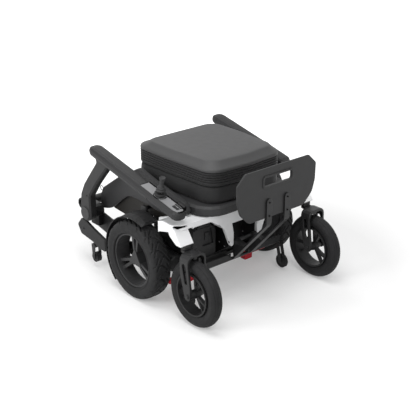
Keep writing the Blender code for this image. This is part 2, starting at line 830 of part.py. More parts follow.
def footplate_bars():
    """Two bent steel straps that carry the footplate, joined by a barrel on the hinge pin."""
    pin = ((-LUG_TIP_X, LUG_Y, LUG_TIP_Z), (LUG_TIP_X, LUG_Y, LUG_TIP_Z))
    inner = FOOT_BAR_X - FOOT_BAR_W / 2 + 0.002
    bars = rod("footplate_bars", (-inner, LUG_Y, LUG_TIP_Z), (inner, LUG_Y, LUG_TIP_Z), 0.0075,
               grey_plastic())
    for side in (-1, 1):
        middle = side * FOOT_BAR_X
        half = FOOT_BAR_W / 2
        bar = plate("bar", foot_bar_outline(), "X", middle - half, middle + half)
        mask = hull_of_circles((middle, FOOT_BAR_TOP_Z - half, half), (middle, 0.10, half + 0.0005))
        keep_common(bar, plate("round_top", mask, "Y", -0.45, -0.15))
        front = FOOT_PLATE_Y - FOOT_BAR_T
        for z in FOOT_BOLT_Z:
            join(bar, rod("bolt", (middle, front - 0.0015, z), (middle, front + 0.002, z), FOOT_BOLT_R,
                          None, 12))
        join(bars, bar)
    return cut(bars, rod("bore", pin[0], pin[1], FOOT_PIN_R + SEAT_GAP, None, 16))


def footplate():
    """Footplate with cut corners and a lipped hand slot."""
    half = [
        (0.135, FOOT_LOW_Z, 0.030), (0.178, 0.410, 0.045), (0.1915, 0.455, 0.05), (FOOT_HALF_X, 0.518, 0.010),
        (0.155, FOOT_TOP_Z, 0.010),
    ]
    outline = half + [(-x, z, r) for x, z, r in reversed(half)]
    back_y = FOOT_PLATE_Y + FOOT_PLATE_T
    foot = plate("footplate", rounded(outline, 4), "Y", FOOT_PLATE_Y, back_y, grey_plastic())
    soften(foot, 0.0015, 1, 75)

    def slot(grow, radius):
        x = FOOT_SLOT_HALF_X + grow
        low = FOOT_SLOT_Z - FOOT_SLOT_H / 2 - grow
        high = FOOT_SLOT_Z + FOOT_SLOT_H / 2 + grow
        return rounded([(-x, low, radius), (x, low, radius), (x, high, radius), (-x, high, radius)], 4)

    lip = plate("lip", slot(FOOT_LIP, 0.013), "Y", FOOT_PLATE_Y - FOOT_LIP_T, back_y + 0.001)
    join(foot, lip)
    cut(foot, plate("hand_slot", slot(0.0, 0.008), "Y", -0.42, -0.36))
    return foot


# Chassis and batteries

def chassis():
    """Black spine with a tray under the batteries, a hanger for each lever and roller stubs."""
    top = PAN_LOW_Z - SEAT_GAP
    body = box("chassis", (-SPINE_HALF_X, CHASSIS_FRONT_Y, TRAY_Z), (SPINE_HALF_X, CHASSIS_REAR_Y, top),
               black_plastic())
    tray_top = TRAY_Z + TRAY_T
    tray = rounded([
        (-TRAY_HALF_X, -0.188, 0.012), (TRAY_HALF_X, -0.188, 0.012),
        (TRAY_HALF_X, CHASSIS_REAR_Y + 0.001, 0.012),
        (-TRAY_HALF_X, CHASSIS_REAR_Y + 0.001, 0.012),
    ], 3)
    join(body, plate("tray", tray, "Z", TRAY_Z - 0.001, tray_top))
    back = box("back", (-TRAY_HALF_X + 0.001, PACK_REAR_Y + SEAT_GAP, tray_top - 0.002),
               (TRAY_HALF_X - 0.001, CHASSIS_REAR_Y - 0.001, top - 0.001))
    join(body, back)
    notch = rounded([(-0.215, 0.10, 0), (-0.215, 0.160, 0), (-0.152, 0.160, 0), (-0.152, 0.10, 0)], 1)
    cut(body, plate("bar_notch", notch, "X", -0.060, 0.060))
    for side in (-1, 1):
        hanger = rounded([(-0.103, TRAY_Z + 0.001, 0), (-0.063, TRAY_Z + 0.001, 0), (-0.070, 0.0815, 0.003),
                          (-0.096, 0.0815, 0.003)], 2)
        join(body, plate("hanger", hanger, "X", side * (LEVER_X - 0.020), side * (LEVER_X + 0.020)))
        join(body, rod("lever_pin", (side * LEVER_X, LEVER_Y, LEVER_Z - 0.019),
                       (side * LEVER_X, LEVER_Y, 0.083),
                       LEVER_PIN_R, None, 16))
        join(body, box("roller_stub", (side * (TRAY_HALF_X - 0.004), -0.186, TRAY_Z + 0.0005),
                       (side * 0.2475, -0.166, TRAY_Z + 0.0115)))
    return body


def front_roller_frame():
    """Cross rod under the tray with two thin bars at each end that hold the small front wheels."""
    x, y, z = FRONT_ROLLER
    rod_y = -0.176
    rod_z = TRAY_Z - 0.0075
    reach = x + FRONT_ROLLER_W / 2 + 0.0055
    frame = rod("front_roller_frame", (-reach, rod_y, rod_z), (reach, rod_y, rod_z), 0.0062, black_metal(),
                12)
    for side in (-1, 1):
        for hand in (-1, 1):
            inner = side * x + hand * (FRONT_ROLLER_W / 2 + 0.0015)
            strap = hull_of_circles((rod_y, rod_z, 0.0070), (y, z, 0.0075), 3)
            join(frame, plate("bar", strap, "X", inner, inner + hand * 0.0039))
        join(frame, rod("pin", (side * x - 0.0105, y, z), (side * x + 0.0105, y, z), ROLLER_PIN_R, None, 10))
    return frame


def roller(name, centre, radius, width, surface):
    """Small solid wheel with a dished face and a bore."""
    half = width / 2
    bore = ROLLER_PIN_R + SEAT_GAP
    half_profile = [(bore, half), (bore + 0.004, half), (radius * 0.68, half - 0.003), (radius, half - 0.001)]
    profile = half_profile + [(r, -h) for r, h in reversed(half_profile)]
    return turned(name, profile, centre, (1, 0, 0), surface, ROUND_STEPS)


def battery(side):
    """Battery pack with its front ledge, a rounded top flap and a port recess."""
    inner = side * (SPINE_HALF_X + 0.004)
    outer = side * PACK_OUT_X
    low = TRAY_Z + TRAY_T + SEAT_GAP
    section = rounded([
        (inner, low, 0.003), (outer, low, 0.003), (outer, PACK_TOP_Z, 0.014),
        (side * 0.140, PACK_TOP_Z, 0.010),
        (inner, PACK_TOP_Z - 0.028, 0.006),
    ], 4)
    pack = plate("battery_" + side_name(side), section, "Y", PACK_FRONT_Y, PACK_REAR_Y, black_plastic())
    ledge = rounded([
        (PACK_FRONT_Y + 0.002, low + 0.001, 0), (PACK_FRONT_Y + 0.002, 0.178, 0),
        (PACK_FRONT_Y - 0.006, 0.178, 0.004),
        (PACK_FRONT_Y - 0.010, 0.160, 0.004), (PACK_LIP_Y + 0.004, 0.160, 0.003),
        (PACK_LIP_Y + 0.003, PACK_LIP_TOP_Z, 0.001), (PACK_LIP_Y, PACK_LIP_TOP_Z, 0.001),
        (PACK_LIP_Y + 0.002, low + 0.001, 0.006),
    ], 3)
    join(pack, plate("ledge", ledge, "X", side * PACK_LIP_IN_X, side * (PACK_OUT_X - 0.0005)))
    bezel = rounded([(side * 0.114, 0.204, 0.006), (side * BEZEL_OUT_X, 0.204, 0.012),
                     (side * BEZEL_OUT_X, 0.296, 0.012), (side * 0.124, 0.296, 0.006)], 2)
    join(pack, plate("bezel", bezel, "Y", PACK_FRONT_Y - 0.002, PACK_FRONT_Y + 0.006))
    port = rounded([(side * 0.120, 0.224, 0.003), (side * 0.172, 0.224, 0.003), (side * 0.172, 0.288, 0.003),
                    (side * 0.130, 0.288, 0.003)], 2)
    cut(pack, plate("port", port, "Y", PACK_FRONT_Y - 0.01, PACK_FRONT_Y + 0.004))
    return pack


def freewheel_lever(side):
    """Red lever: a hub under the chassis and a bar that reaches out below the motor."""
    x = side * LEVER_X
    hub = rounded([(x - 0.020, LEVER_Z - 0.0195, 0.004), (x + 0.020, LEVER_Z - 0.0195, 0.004),
                   (x + 0.020, LEVER_Z + 0.0205, 0.003), (x - 0.020, LEVER_Z + 0.0205, 0.003)], 2)
    lever = plate("freewheel_lever_" + side_name(side), hub, "Y", LEVER_Y - 0.013, LEVER_Y + 0.013,
                  red_plastic())
    bar = rounded([(x, LEVER_Z - 0.001, 0), (side * LEVER_TIP_X, LEVER_Z - 0.001, 0.006),
                   (side * LEVER_TIP_X, LEVER_Z + 0.0165, 0.006), (x, LEVER_Z + 0.0165, 0)], 3)
    join(lever, plate("bar", bar, "Y", LEVER_Y - 0.010, LEVER_Y + 0.010))
    cut(lever, rod("bore", (x, LEVER_Y, 0.0), (x, LEVER_Y, 0.12), LEVER_PIN_R + SEAT_GAP, None, 16))
    soften(lever, 0.0012, 1, 50)
    return lever


# Seat

def cushion_ring(inset, z, front=None, rear=None, arc=4):
    """Return the cushions' bowed and tapered outline, drawn in by an inset, as 3D points."""
    radius = max(CUSHION_CORNER_R - inset * 0.5, 0.02)
    half = CUSHION_HALF_X - inset
    front_y = CUSHION_FRONT_Y + (inset if front is None else front)
    rear_y = CUSHION_REAR_Y - (inset if rear is None else rear)
    bow_r = 0.20
    left = [(-half + 0.002, rear_y, radius * 0.9), (-half, 0.0, bow_r)]
    left.append((-half + CUSHION_TAPER, front_y + CUSHION_BOW, radius))
    corners = left + [(0.0, front_y, bow_r)] + [(-x, y, r) for x, y, r in reversed(left)]
    return [(x, y, z) for x, y in rounded(corners, arc)]


def seat_cushion():
    """Seat cushion, full at its middle and drawn in a little at the pan and under the backrest."""
    low = PAN_TOP_Z + SEAT_GAP
    high = SEAT_TOP_Z
    steps = [(0.010, 0.0), (0.004, 0.05), (0.0015, 0.16), (0.0, 0.35), (0.0, 0.60), (0.0015, 0.85),
             (0.0035, 0.95),
             (0.009, 1.0)]
    rings = [cushion_ring(inset, low + (high - low) * share) for inset, share in steps]
    return loft("seat_cushion", rings, fabric())


def seat_pan():
    """Moulded pan with a front lip, side wings over the wheels and a pivot skirt under each."""
    outline = rounded([
        (-PAN_HALF_X, PAN_FRONT_Y, PAN_CORNER_R), (PAN_HALF_X, PAN_FRONT_Y, PAN_CORNER_R),
        (PAN_HALF_X, PAN_REAR_Y, 0.03), (-PAN_HALF_X, PAN_REAR_Y, 0.03),
    ], 5)
    pan = plate("seat_pan", outline, "Z", PAN_LOW_Z, PAN_TOP_Z, black_plastic())
    soften(pan, 0.008, 1, 75)
    wing = rounded([
        (-0.190, 0.372, 0.008), (-0.170, 0.405, 0.03), (0.000, 0.440, 0.06), (0.093, 0.464, 0.020),
        (0.223, 0.393, 0.020), (0.327, 0.321, 0.012), (0.349, 0.285, 0.010), (0.349, 0.231, 0.010),
        (0.302, 0.243, 0.03), (0.262, 0.263, 0.010), (0.200, 0.312, 0.020), (0.150, ARCH_TOP_Z, 0.03),
        (0.050, ARCH_TOP_Z - 0.001, 0.03), (-0.030, 0.331, 0.02), (-0.100, 0.345, 0.02),
    ], 2)
    skirt = rounded([
        (-0.105, 0.370, 0), (-0.105, 0.316, 0.010), (-0.010, 0.288, 0.030), (0.120, 0.284, 0.040),
        (0.175, 0.236, 0.020), (0.286, 0.244, 0.006), (0.262, 0.300, 0), (0.235, 0.370, 0),
    ], 2)
    for side in (-1, 1):
        skin = plate("wing", wing, "X", side * (WING_OUT_X - WING_T), side * WING_OUT_X)
        soften(skin, 0.003, 1, 75)
        join(pan, skin)
        inner = WING_OUT_X - WING_T + 0.003
        join(pan, plate("skirt", skirt, "X", side * (inner - SKIRT_T), side * inner))
        cut(pan, rod("pivot_bore", (side * 0.19, FRAME_PIVOT_Y, FRAME_PIVOT_Z),
                     (side * 0.26, FRAME_PIVOT_Y, FRAME_PIVOT_Z), FRAME_PIN_R + SEAT_GAP, None, 20))
    return pan


def release_ring():
    """Small pull ring on a stub behind the right wing."""
    centre = Vector((-WING_OUT_X - SEAT_GAP - RING_WIRE_R, *RING_PLACE))
    points = []
    for k in range(12):
        angle = 2 * math.pi * k / 12
        points.append((centre.x, centre.y + RING_R * math.cos(angle), centre.z + RING_R * math.sin(angle)))
    return tube("release_ring", points, RING_WIRE_R, black_metal(), 1, True)


# Backrest

def backrest_cushion():
    """Side band of the backrest: a plain roll at its foot and ribs above it."""
    low = SEAT_TOP_Z + 0.0008
    high = BACK_SEAM_Z - SEAT_GAP
    ribs = low + BACK_BEAD_H
    bead = ((0.007, 0.0), (0.001, 0.25), (0.0, 0.7))
    rings = [cushion_ring(inset, low + BACK_BEAD_H * share) for inset, share in bead]
    pitch = (high - ribs) / BACK_GROOVES
    for groove in range(BACK_GROOVES):
        base = ribs + pitch * groove
        rings.append(cushion_ring(BACK_GROOVE_DEPTH, base + pitch * 0.06))
        rings.append(cushion_ring(0.0005, base + pitch * 0.30))
        rings.append(cushion_ring(0.0005, base + pitch * 0.76))
    rings.append(cushion_ring(BACK_GROOVE_DEPTH, high))
    return loft("backrest_cushion", rings, fabric())


def backrest_shell():
    """Hard shell on the back of the backrest, with a broad bevel around a crowned panel."""
    rise = BACK_TOP_Z - BACK_SEAM_Z
    lip = ((0.0025, 0.0), (0.0, 0.06), (0.0005, 0.28), (0.0028, 0.37))
    rings = [cushion_ring(inset, BACK_SEAM_Z + rise * height) for inset, height in lip]
    for share, height in ((0.94, 0.915), (1.10, 0.945), (2.4, 0.985), (4.4, 1.0)):
        crown = max(share - 1.0, 0.0)
        front = BACK_BEVEL_FRONT * share
        rear = BACK_BEVEL_REAR * min(share, 1.0) + BACK_BEVEL_FRONT * crown
        rings.append(cushion_ring(BACK_BEVEL_SIDE * share, BACK_SEAM_Z + rise * height, front, rear))
    return loft("backrest_shell", rings, grey_plastic())


def backrest_arms():
    """Two hinge arms on the rear of the backrest, with the tube that joins them at the hinge."""
    near = BACK_PIVOT_Y - BACK_KNUCKLE_R
    far = BACK_PIVOT_Y + BACK_KNUCKLE_R
    low = BACK_PIVOT_Z - BACK_KNUCKLE_R
    face = CUSHION_REAR_Y + SEAT_GAP
    outline = rounded([
        (face, BACK_SEAM_Z, 0.002), (face, 0.476, 0.0), (near, BACK_PIVOT_Z + 0.004, 0.004),
        (near, low, 0.010),
        (far, low, 0.011), (far, BACK_PIVOT_Z + 0.010, 0.010), (face + 0.010, 0.490, 0.01),
        (face + 0.008, BACK_SEAM_Z, 0.003),
    ])
    reach = BACK_ARM_X - BACK_ARM_T / 2 + 0.002
    arms = rod("backrest_arms", (-reach, BACK_PIVOT_Y, BACK_PIVOT_Z), (reach, BACK_PIVOT_Y, BACK_PIVOT_Z),
               0.008,
               black_metal())
    for side in (-1, 1):
        inner = side * (BACK_ARM_X - BACK_ARM_T / 2)
        outer = side * (BACK_ARM_X + BACK_ARM_T / 2)
        join(arms, plate("arm", outline, "X", inner, outer))
        start = (side * (reach - BACK_ARM_T), BACK_PIVOT_Y, BACK_PIVOT_Z)
        end = (outer + side * BACK_ARM_T, BACK_PIVOT_Y, BACK_PIVOT_Z)
        cut(arms, rod("bore", start, end, BACK_PIN_R + SEAT_GAP, None, 16))
    return arms


def backrest_bracket():
    """Strip on the rear edge of the pan with an upright and a hinge pin at each side of the backrest."""
    near = BACK_PIVOT_Y - BACK_KNUCKLE_R
    far = BACK_PIVOT_Y + BACK_KNUCKLE_R
    outline = rounded([
        (BACK_PIVOT_Y - 0.026, PAN_TOP_Z + SEAT_GAP, 0), (near, BACK_PIVOT_Z - 0.020, 0.01),
        (near, BACK_PIVOT_Z + BACK_KNUCKLE_R, 0.0115), (far, BACK_PIVOT_Z + BACK_KNUCKLE_R, 0.0115),
        (far, PAN_LOW_Z + 0.004, 0.003), (PAN_REAR_Y + SEAT_GAP, PAN_LOW_Z + 0.004, 0),
        (PAN_REAR_Y + SEAT_GAP, PAN_TOP_Z + SEAT_GAP, 0),
    ], 3)
    inner = BACK_ARM_X + BACK_ARM_T / 2 + SEAT_GAP
    bracket = box("backrest_bracket", (-inner - 0.002, PAN_REAR_Y + SEAT_GAP, PAN_LOW_Z + 0.010),
                  (inner + 0.002, PAN_REAR_Y + 0.004, PAN_TOP_Z - 0.012), black_metal())
    for side in (-1, 1):
        join(bracket, plate("upright", outline, "X", side * inner, side * (inner + 0.010)))
        join(bracket, rod("pin", (side * (BACK_ARM_X - BACK_ARM_T / 2), BACK_PIVOT_Y, BACK_PIVOT_Z),
                          (side * (inner + 0.012), BACK_PIVOT_Y, BACK_PIVOT_Z), BACK_PIN_R, None, 16))
    return bracket


# Rear frame

def side_plate(side):
    """Long plate from the seat pivot past the motor to the rear bracket."""
    outline = rounded([
        (FRAME_PIVOT_Y - 0.015, FRAME_PIVOT_Z + 0.013, 0.012),
        (FRAME_PIVOT_Y + 0.015, FRAME_PIVOT_Z + 0.013, 0.012),
        (0.066, 0.250, 0.03), (0.120, 0.200, 0.04), (0.254, 0.204, 0.05), (0.359, 0.223, 0.02),
        (0.395, 0.190, 0.02),
        (0.402, 0.159, 0.012), (0.301, 0.137, 0.03), (0.180, 0.118, 0.05), (0.020, 0.098, 0.03),
        (-0.034, 0.140, 0.03),
        (-0.020, 0.190, 0.03), (0.020, 0.250, 0.03),
    ], 3)
    low = side * SIDE_PLATE_X
    high = side * (SIDE_PLATE_X + SIDE_PLATE_T)
    made = plate("side_plate_" + side_name(side), outline, "X", low, high, black_metal())
    cut(made, rod("axle_hole", (side * 0.23, DRIVE_Y, DRIVE_R), (side * 0.27, DRIVE_Y, DRIVE_R),
                  AXLE_R + 0.001))
    window = hull_of_circles((0.120, 0.160, 0.016), (0.215, 0.170, 0.010), 5)
    cut(made, plate("window", window, "X", side * 0.23, side * 0.27))
    inner = side * (WING_OUT_X - WING_T + 0.003 - SKIRT_T)
    join(made, rod("pivot_pin", (inner, FRAME_PIVOT_Y, FRAME_PIVOT_Z),
                   (side * (SIDE_PLATE_X + 0.003), FRAME_PIVOT_Y, FRAME_PIVOT_Z), FRAME_PIN_R, None, 20))
    return made


def rear_arm(side):
    """Outer rear arm, which jogs inboard of the wheel and runs on to the motor."""
    outer = rounded([
        (0.222, 0.150, 0.004), (0.300, 0.172, 0.03), (0.348, 0.190, 0.01), (0.379, 0.194, 0.010),
        (0.409, 0.160, 0.012),
        (0.385, 0.124, 0.015), (0.308, 0.114, 0.02), (0.267, 0.100, 0.02), (0.222, 0.097, 0.008),
    ], 4)
    arm = plate("rear_arm_" + side_name(side), outer, "X", side * (ARM_OUT_X - ARM_T), side * ARM_OUT_X,
                black_plastic())
    soften(arm, 0.002, 1, 60)
    face = SIDE_PLATE_X + SIDE_PLATE_T + SEAT_GAP
    jog = rounded([
        (side * face, 0.180, 0.002), (side * (face + 0.010), 0.180, 0.002),
        (side * (face + 0.014), 0.200, 0.02),
        (side * (ARM_OUT_X - ARM_T / 2), 0.2235, 0.006), (side * (ARM_OUT_X - ARM_T / 2), 0.240, 0.004),
        (side * (face + 0.010), 0.232, 0.012), (side * face, 0.205, 0.01),
    ], 4)
    join(arm, plate("jog", jog, "Z", 0.1035, 0.147))
    run = rounded([
        (0.190, 0.148, 0), (-0.010, 0.185, 0.02), (-0.034, 0.150, 0.02), (-0.010, 0.112, 0.02),
        (0.190, 0.1045, 0),
    ], 4)
    join(arm, plate("run", run, "X", side * face, side * (face + 0.0085)))
    cut(arm, rod("axle_hole", (side * 0.23, DRIVE_Y, DRIVE_R), (side * 0.27, DRIVE_Y, DRIVE_R),
                 AXLE_R + 0.001))
    return arm


def post_bracket(side):
    """Cast bracket that holds the armrest pivot and the end of the cross tube."""
    face = SIDE_PLATE_X + SIDE_PLATE_T + SEAT_GAP
    outline = hull_of_circles((POST_PIVOT_Y, POST_PIVOT_Z, 0.026), (TUBE_Y, TUBE_Z, TUBE_R + 0.0035))
    high = side * (POST_IN_X - SEAT_GAP)
    made = plate("post_bracket_" + side_name(side), outline, "X", side * face, high, black_metal())
    foot = rounded([(0.318, 0.215, 0), (0.318, 0.165, 0.004), (0.372, 0.165, 0.004), (0.372, 0.215, 0)], 2)
    join(made, plate("foot", foot, "X", side * (face + 0.0002), side * (face + 0.020)))
    cut(made, rod("tube_bore", (side * 0.24, TUBE_Y, TUBE_Z), (side * 0.30, TUBE_Y, TUBE_Z),
                  TUBE_R + SEAT_GAP, None, 24))
    cut(made, rod("pin_bore", (side * 0.268, POST_PIVOT_Y, POST_PIVOT_Z),
                  (side * 0.30, POST_PIVOT_Y, POST_PIVOT_Z),
                  POST_PIN_R + SEAT_GAP))
    return made


def rear_cross_tube():
    """Round tube across the rear with open ends."""
    tube_body = rod("rear_cross_tube", (-TUBE_HALF_X, TUBE_Y, TUBE_Z), (TUBE_HALF_X, TUBE_Y, TUBE_Z), TUBE_R,
                    black_metal(), 24)
    reach = TUBE_HALF_X + 0.01
    return cut(tube_body, rod("hollow", (-reach, TUBE_Y, TUBE_Z), (reach, TUBE_Y, TUBE_Z),
                              TUBE_R - TUBE_WALL, None, 24))


def drive_motor(side):
    """Gearbox on the axle with the motor can ahead of it."""
    high = side * (SIDE_PLATE_X - SEAT_GAP)
    low = side * GEARBOX_IN_X
    name = "drive_motor_" + side_name(side)
    motor = rod(name, (low, DRIVE_Y, DRIVE_R), (high, DRIVE_Y, DRIVE_R), GEARBOX_R, black_metal(), 24)
    can_x = side * MOTOR_X
    can = rod("can", (can_x, MOTOR_FRONT_Y, DRIVE_R), (can_x, DRIVE_Y - 0.048, DRIVE_R), MOTOR_R)
    neck = box("neck", (side * (GEARBOX_IN_X + 0.003), DRIVE_Y - 0.052, DRIVE_R - 0.026),
               (side * (SIDE_PLATE_X - 0.002), DRIVE_Y - 0.01, DRIVE_R + 0.026))
    join(motor, neck, soften(can, 0.004, 1))
    cut(motor, rod("bore", (side * (GEARBOX_IN_X + 0.010), DRIVE_Y, DRIVE_R), (side * 0.26, DRIVE_Y, DRIVE_R),
                   AXLE_R + SEAT_GAP))
    return motor


def fender(side):
    """Mudguard: a thin band round the wheel and a moulded cover on top."""
    inner_x = side * GUARD_IN_X
    outer_x = side * (GUARD_IN_X + GUARD_W)
    band = arc_points((DRIVE_Y, DRIVE_R), GUARD_R, -47, 100, 18)
    band += arc_points((DRIVE_Y, DRIVE_R), GUARD_R + GUARD_T, 100, -47, 18)
    guard = plate("fender_" + side_name(side), band, "X", inner_x, outer_x, black_plastic())
    rings = []
    for angle, swell in zip(COVER_ANGLES, COVER_SWELLS):
        thick = 0.003 + COVER_T * swell
        across = ((-0.001, 0.0), (-0.001, thick * 0.55), (0.010, thick), (0.052, thick * 0.9),
                  (0.068, thick * 0.45),
                  (GUARD_W, thick * 0.1), (GUARD_W, 0.0))
        ring = []
        for shift, rise in across:
            y, z = arc_points((DRIVE_Y, DRIVE_R), GUARD_R + rise, angle, angle, 1)[0]
            ring.append((side * (GUARD_IN_X + shift), y, z))
        rings.append(ring)
    join(guard, loft("cover", rings))
    stay_top = DRIVE_R + GUARD_R + 0.001
    stay = rounded([(-0.012, 0.1660, 0.004), (0.030, 0.1660, 0.004), (0.028, stay_top, 0),
                    (-0.008, stay_top, 0)], 2)
    face = SIDE_PLATE_X + SIDE_PLATE_T + SEAT_GAP + 0.0085 + SEAT_GAP
    join(guard, plate("stay", stay, "X", side * face, side * (face + 0.0075)))
    join(guard, box("stay_top", (side * face, DRIVE_Y - 0.010, DRIVE_R + GUARD_R - 0.006),
                    (side * (GUARD_IN_X + 0.004), DRIVE_Y + 0.020, DRIVE_R + GUARD_R + 0.002)))
    return guard


def rear_roller_fork(side):
    """Two-leg fork under the rear arm, with a head on the arm's inner face."""
    x, y, z = REAR_ROLLER
    inner = x - REAR_ROLLER_W / 2 - 0.0055
    outer = x + REAR_ROLLER_W / 2 + 0.0055
    head_x = ARM_OUT_X - ARM_T - SEAT_GAP
    bridge_z = z + 0.046
    fork = box("rear_roller_fork_" + side_name(side), (side * inner, y - 0.011, bridge_z),
               (side * outer, y + 0.011, bridge_z + 0.012), black_metal())
    head = box("head", (side * (inner + 0.0005), y - 0.010, bridge_z + 0.011),
               (side * head_x, y + 0.010, bridge_z + 0.036))
    join(fork, head)
    for low, high in ((inner, inner + 0.004), (outer - 0.004, outer)):
        leg = hull_of_circles((y, bridge_z, 0.010), (y, z, 0.007), 4)
        join(fork, plate("leg", leg, "X", side * (low + 0.0002), side * (high - 0.0002)))
    return join(fork, rod("pin", (side * (inner + 0.001), y, z), (side * (outer - 0.001), y, z),
                          ROLLER_PIN_R, None, 12))


# Armrests

def armrest_post(side):
    """Curved post from the rear pivot up to the armrest."""
    pivot_arc = arc_points((POST_PIVOT_Y, POST_PIVOT_Z), POST_PIVOT_R, 8, -188, 9)
    outline = [(0.359, 0.310, 0.03), (0.366, 0.268, 0.02)] + [(y, z, 0.0) for y, z in pivot_arc]
    outline += [(0.300, 0.310, 0.03), (0.252, 0.374, 0.03), (0.201, 0.431, 0.02), (0.160, 0.476, 0.0),
                (0.160, 0.52, 0.0), (0.262, 0.52, 0.0), (0.262, 0.497, 0.0), (0.243, 0.468, 0.012),
                (0.289, 0.412, 0.03), (0.336, 0.354, 0.03)]
    inner = side * POST_IN_X
    outer = side * (POST_IN_X + POST_T)
    post = plate("armrest_post_" + side_name(side), rounded(outline, 2), "X", inner, outer, grey_plastic())
    soften(post, 0.006, 1, 75)
    drop = PAD_H / 2 / math.cos(PAD_SLOPE) + SEAT_GAP
    under = [(0.10, pad_mid_z(0.10) - drop), (0.32, pad_mid_z(0.32) - drop), (0.32, 0.60), (0.10, 0.60)]
    cut(post, plate("seat", under, "X", side * 0.27, side * 0.35))
    cut(post, rod("pin_bore", (side * 0.28, POST_PIVOT_Y, POST_PIVOT_Z),
                  (side * 0.34, POST_PIVOT_Y, POST_PIVOT_Z),
                  POST_PIN_R + SEAT_GAP))
    return post


def pivot_cap(side):
    """Pivot pin with a round cap outside."""
    outer = POST_IN_X + POST_T + SEAT_GAP
    cap = rod("pivot_cap_" + side_name(side), (side * outer, POST_PIVOT_Y, POST_PIVOT_Z),
              (side * (outer + CAP_T), POST_PIVOT_Y, POST_PIVOT_Z), CAP_R, grey_plastic(), 28, CAP_R - 0.001)
    return join(cap, rod("pin", (side * 0.2685, POST_PIVOT_Y, POST_PIVOT_Z),
                         (side * (outer + 0.001), POST_PIVOT_Y, POST_PIVOT_Z), POST_PIN_R))


def pad_section(x, y, scale_x, scale_z, drop=0.0):
    """Return the D-shaped section of an armrest at one place along it, square to its slope."""
    half = PAD_W / 2 * scale_x
    high = PAD_H / 2 * scale_z
    shape = [(-1.0, -0.10), (-0.96, 0.45), (-0.78, 0.82), (-0.45, 0.97), (0.0, 1.0), (0.45, 0.97),
             (0.78, 0.82),
             (0.96, 0.45), (1.0, -0.10), (0.90, -0.60), (0.62, -0.90), (0.30, -1.0), (-0.30, -1.0),
             (-0.62, -0.90),
             (-0.90, -0.60)]
    up = Vector((0, -math.sin(PAD_SLOPE), math.cos(PAD_SLOPE)))
    middle = Vector((x, y, pad_mid_z(y) - drop))
    return [tuple(middle + Vector((u * half, 0, 0)) + up * (v * high)) for u, v in shape]


def round_end(y, length, direction, x):
    """Return sections that close an armrest's end with a round."""
    rings = []
    for step in range(5):
        angle = math.radians(18 * step + 10)
        rings.append(pad_section(x, y + direction * length * (math.sin(angle) - 1), math.cos(angle) ** 0.75,
                                 math.cos(angle) ** 0.75))
    return rings


def armrest_pad(side):
    """Padded armrest with a round rear end, joined to the control module on the right side."""
    x = side * PAD_X
    front = PAD_LEFT_FRONT_Y if side > 0 else PAD_SEAM_Y
    rings = [pad_section(x, front, 0.97 if side > 0 else 1.0, 0.97 if side > 0 else 1.0)]
    if side > 0:
        rings.insert(0, pad_section(x, front - 0.006, 0.86, 0.84))
    for share in (0.15, 0.5, 0.85):
        rings.append(pad_section(x, front + (PAD_REAR_Y - 0.034 - front) * share, 1.0, 1.0))
    rings += round_end(PAD_REAR_Y, 0.034, 1, x)
    return loft("armrest_pad_" + side_name(side), rings, grey_plastic())


def joystick_frame():
    """Place of the joystick's pivot over the right armrest, and the panel's normal."""
    up = Vector((0, -math.sin(PAD_SLOPE), math.cos(PAD_SLOPE)))
    base = Vector((-PAD_X, STICK_Y, pad_mid_z(STICK_Y))) + up * (PANEL_TOP + PIVOT_RISE)
    return base, up


def along_module(y, u, rise):
    """Return a point on the control module: y along it, u across it and rise above its middle line."""
    up = Vector((0, -math.sin(PAD_SLOPE), math.cos(PAD_SLOPE)))
    return Vector((-PAD_X + u, y, pad_mid_z(y))) + up * rise


def module_block(name, outline, low, high, surface=None):
    """Extrude an outline of (across, along) points between two heights over the module's middle line."""
    made = plate(name, outline, "Z", low, high, surface)
    turn = Matrix.Rotation(PAD_SLOPE, 4, "X")
    middle = Vector((-PAD_X, 0.0, pad_mid_z(0.0)))
    made.data.transform(Matrix.Translation(middle) @ turn)
    return made


def slope_len(y):
    """Distance along the armrest's slope for a distance along Y."""
    return y / math.cos(PAD_SLOPE)


def panel_outline(grow):
    """Outline of the light control panel, wide at the rear and round at the front."""
    half = PANEL_W / 2 + grow
    rear = slope_len(PAD_SEAM_Y) - 0.002 + grow
    front = slope_len(MODULE_FRONT_Y) + 0.014 - grow
    return rounded([(-half, rear, 0.003), (half, rear, 0.003), (half, front + 0.02, 0.02),
                    (half * 0.72, front, 0.010),
                    (-half * 0.72, front, 0.010), (-half, front + 0.02, 0.02)], 4)


def joystick_module():
    """Control module that ends the right armrest, flat on top with a recess for its panel."""
    x = -PAD_X
    start = PAD_SEAM_Y - SEAT_GAP
    rings = [pad_section(x, start, 1.0, 1.0)]
    for share, wide, high in ((0.30, 1.0, 1.0), (0.60, 0.98, 1.0), (0.82, 0.96, 0.98)):
        rings.append(pad_section(x, start + (MODULE_FRONT_Y - start) * share, wide, high))
    rings += round_end(MODULE_FRONT_Y, 0.030, -1, x)
    module = loft("joystick_module", rings, grey_plastic())
    base = slope_len(-0.05)
    flat = [(-0.04, base + 0.019), (0.04, base + 0.019), (0.04, base - 0.25), (-0.04, base - 0.25)]
    cut(module, module_block("flat", flat, PANEL_TOP, 0.05))
    cut(module, module_block("recess", panel_outline(SEAT_GAP), PANEL_TOP - PANEL_T - SEAT_GAP, 0.05))
    base_place, up = joystick_frame()
    floor = base_place - up * (PIVOT_RISE + BOOT_SINK + SEAT_GAP)
    cut(module, rod("well", floor, base_place + up * 0.02, BOOT_NECK_R + SEAT_GAP, None, 28))
    return module


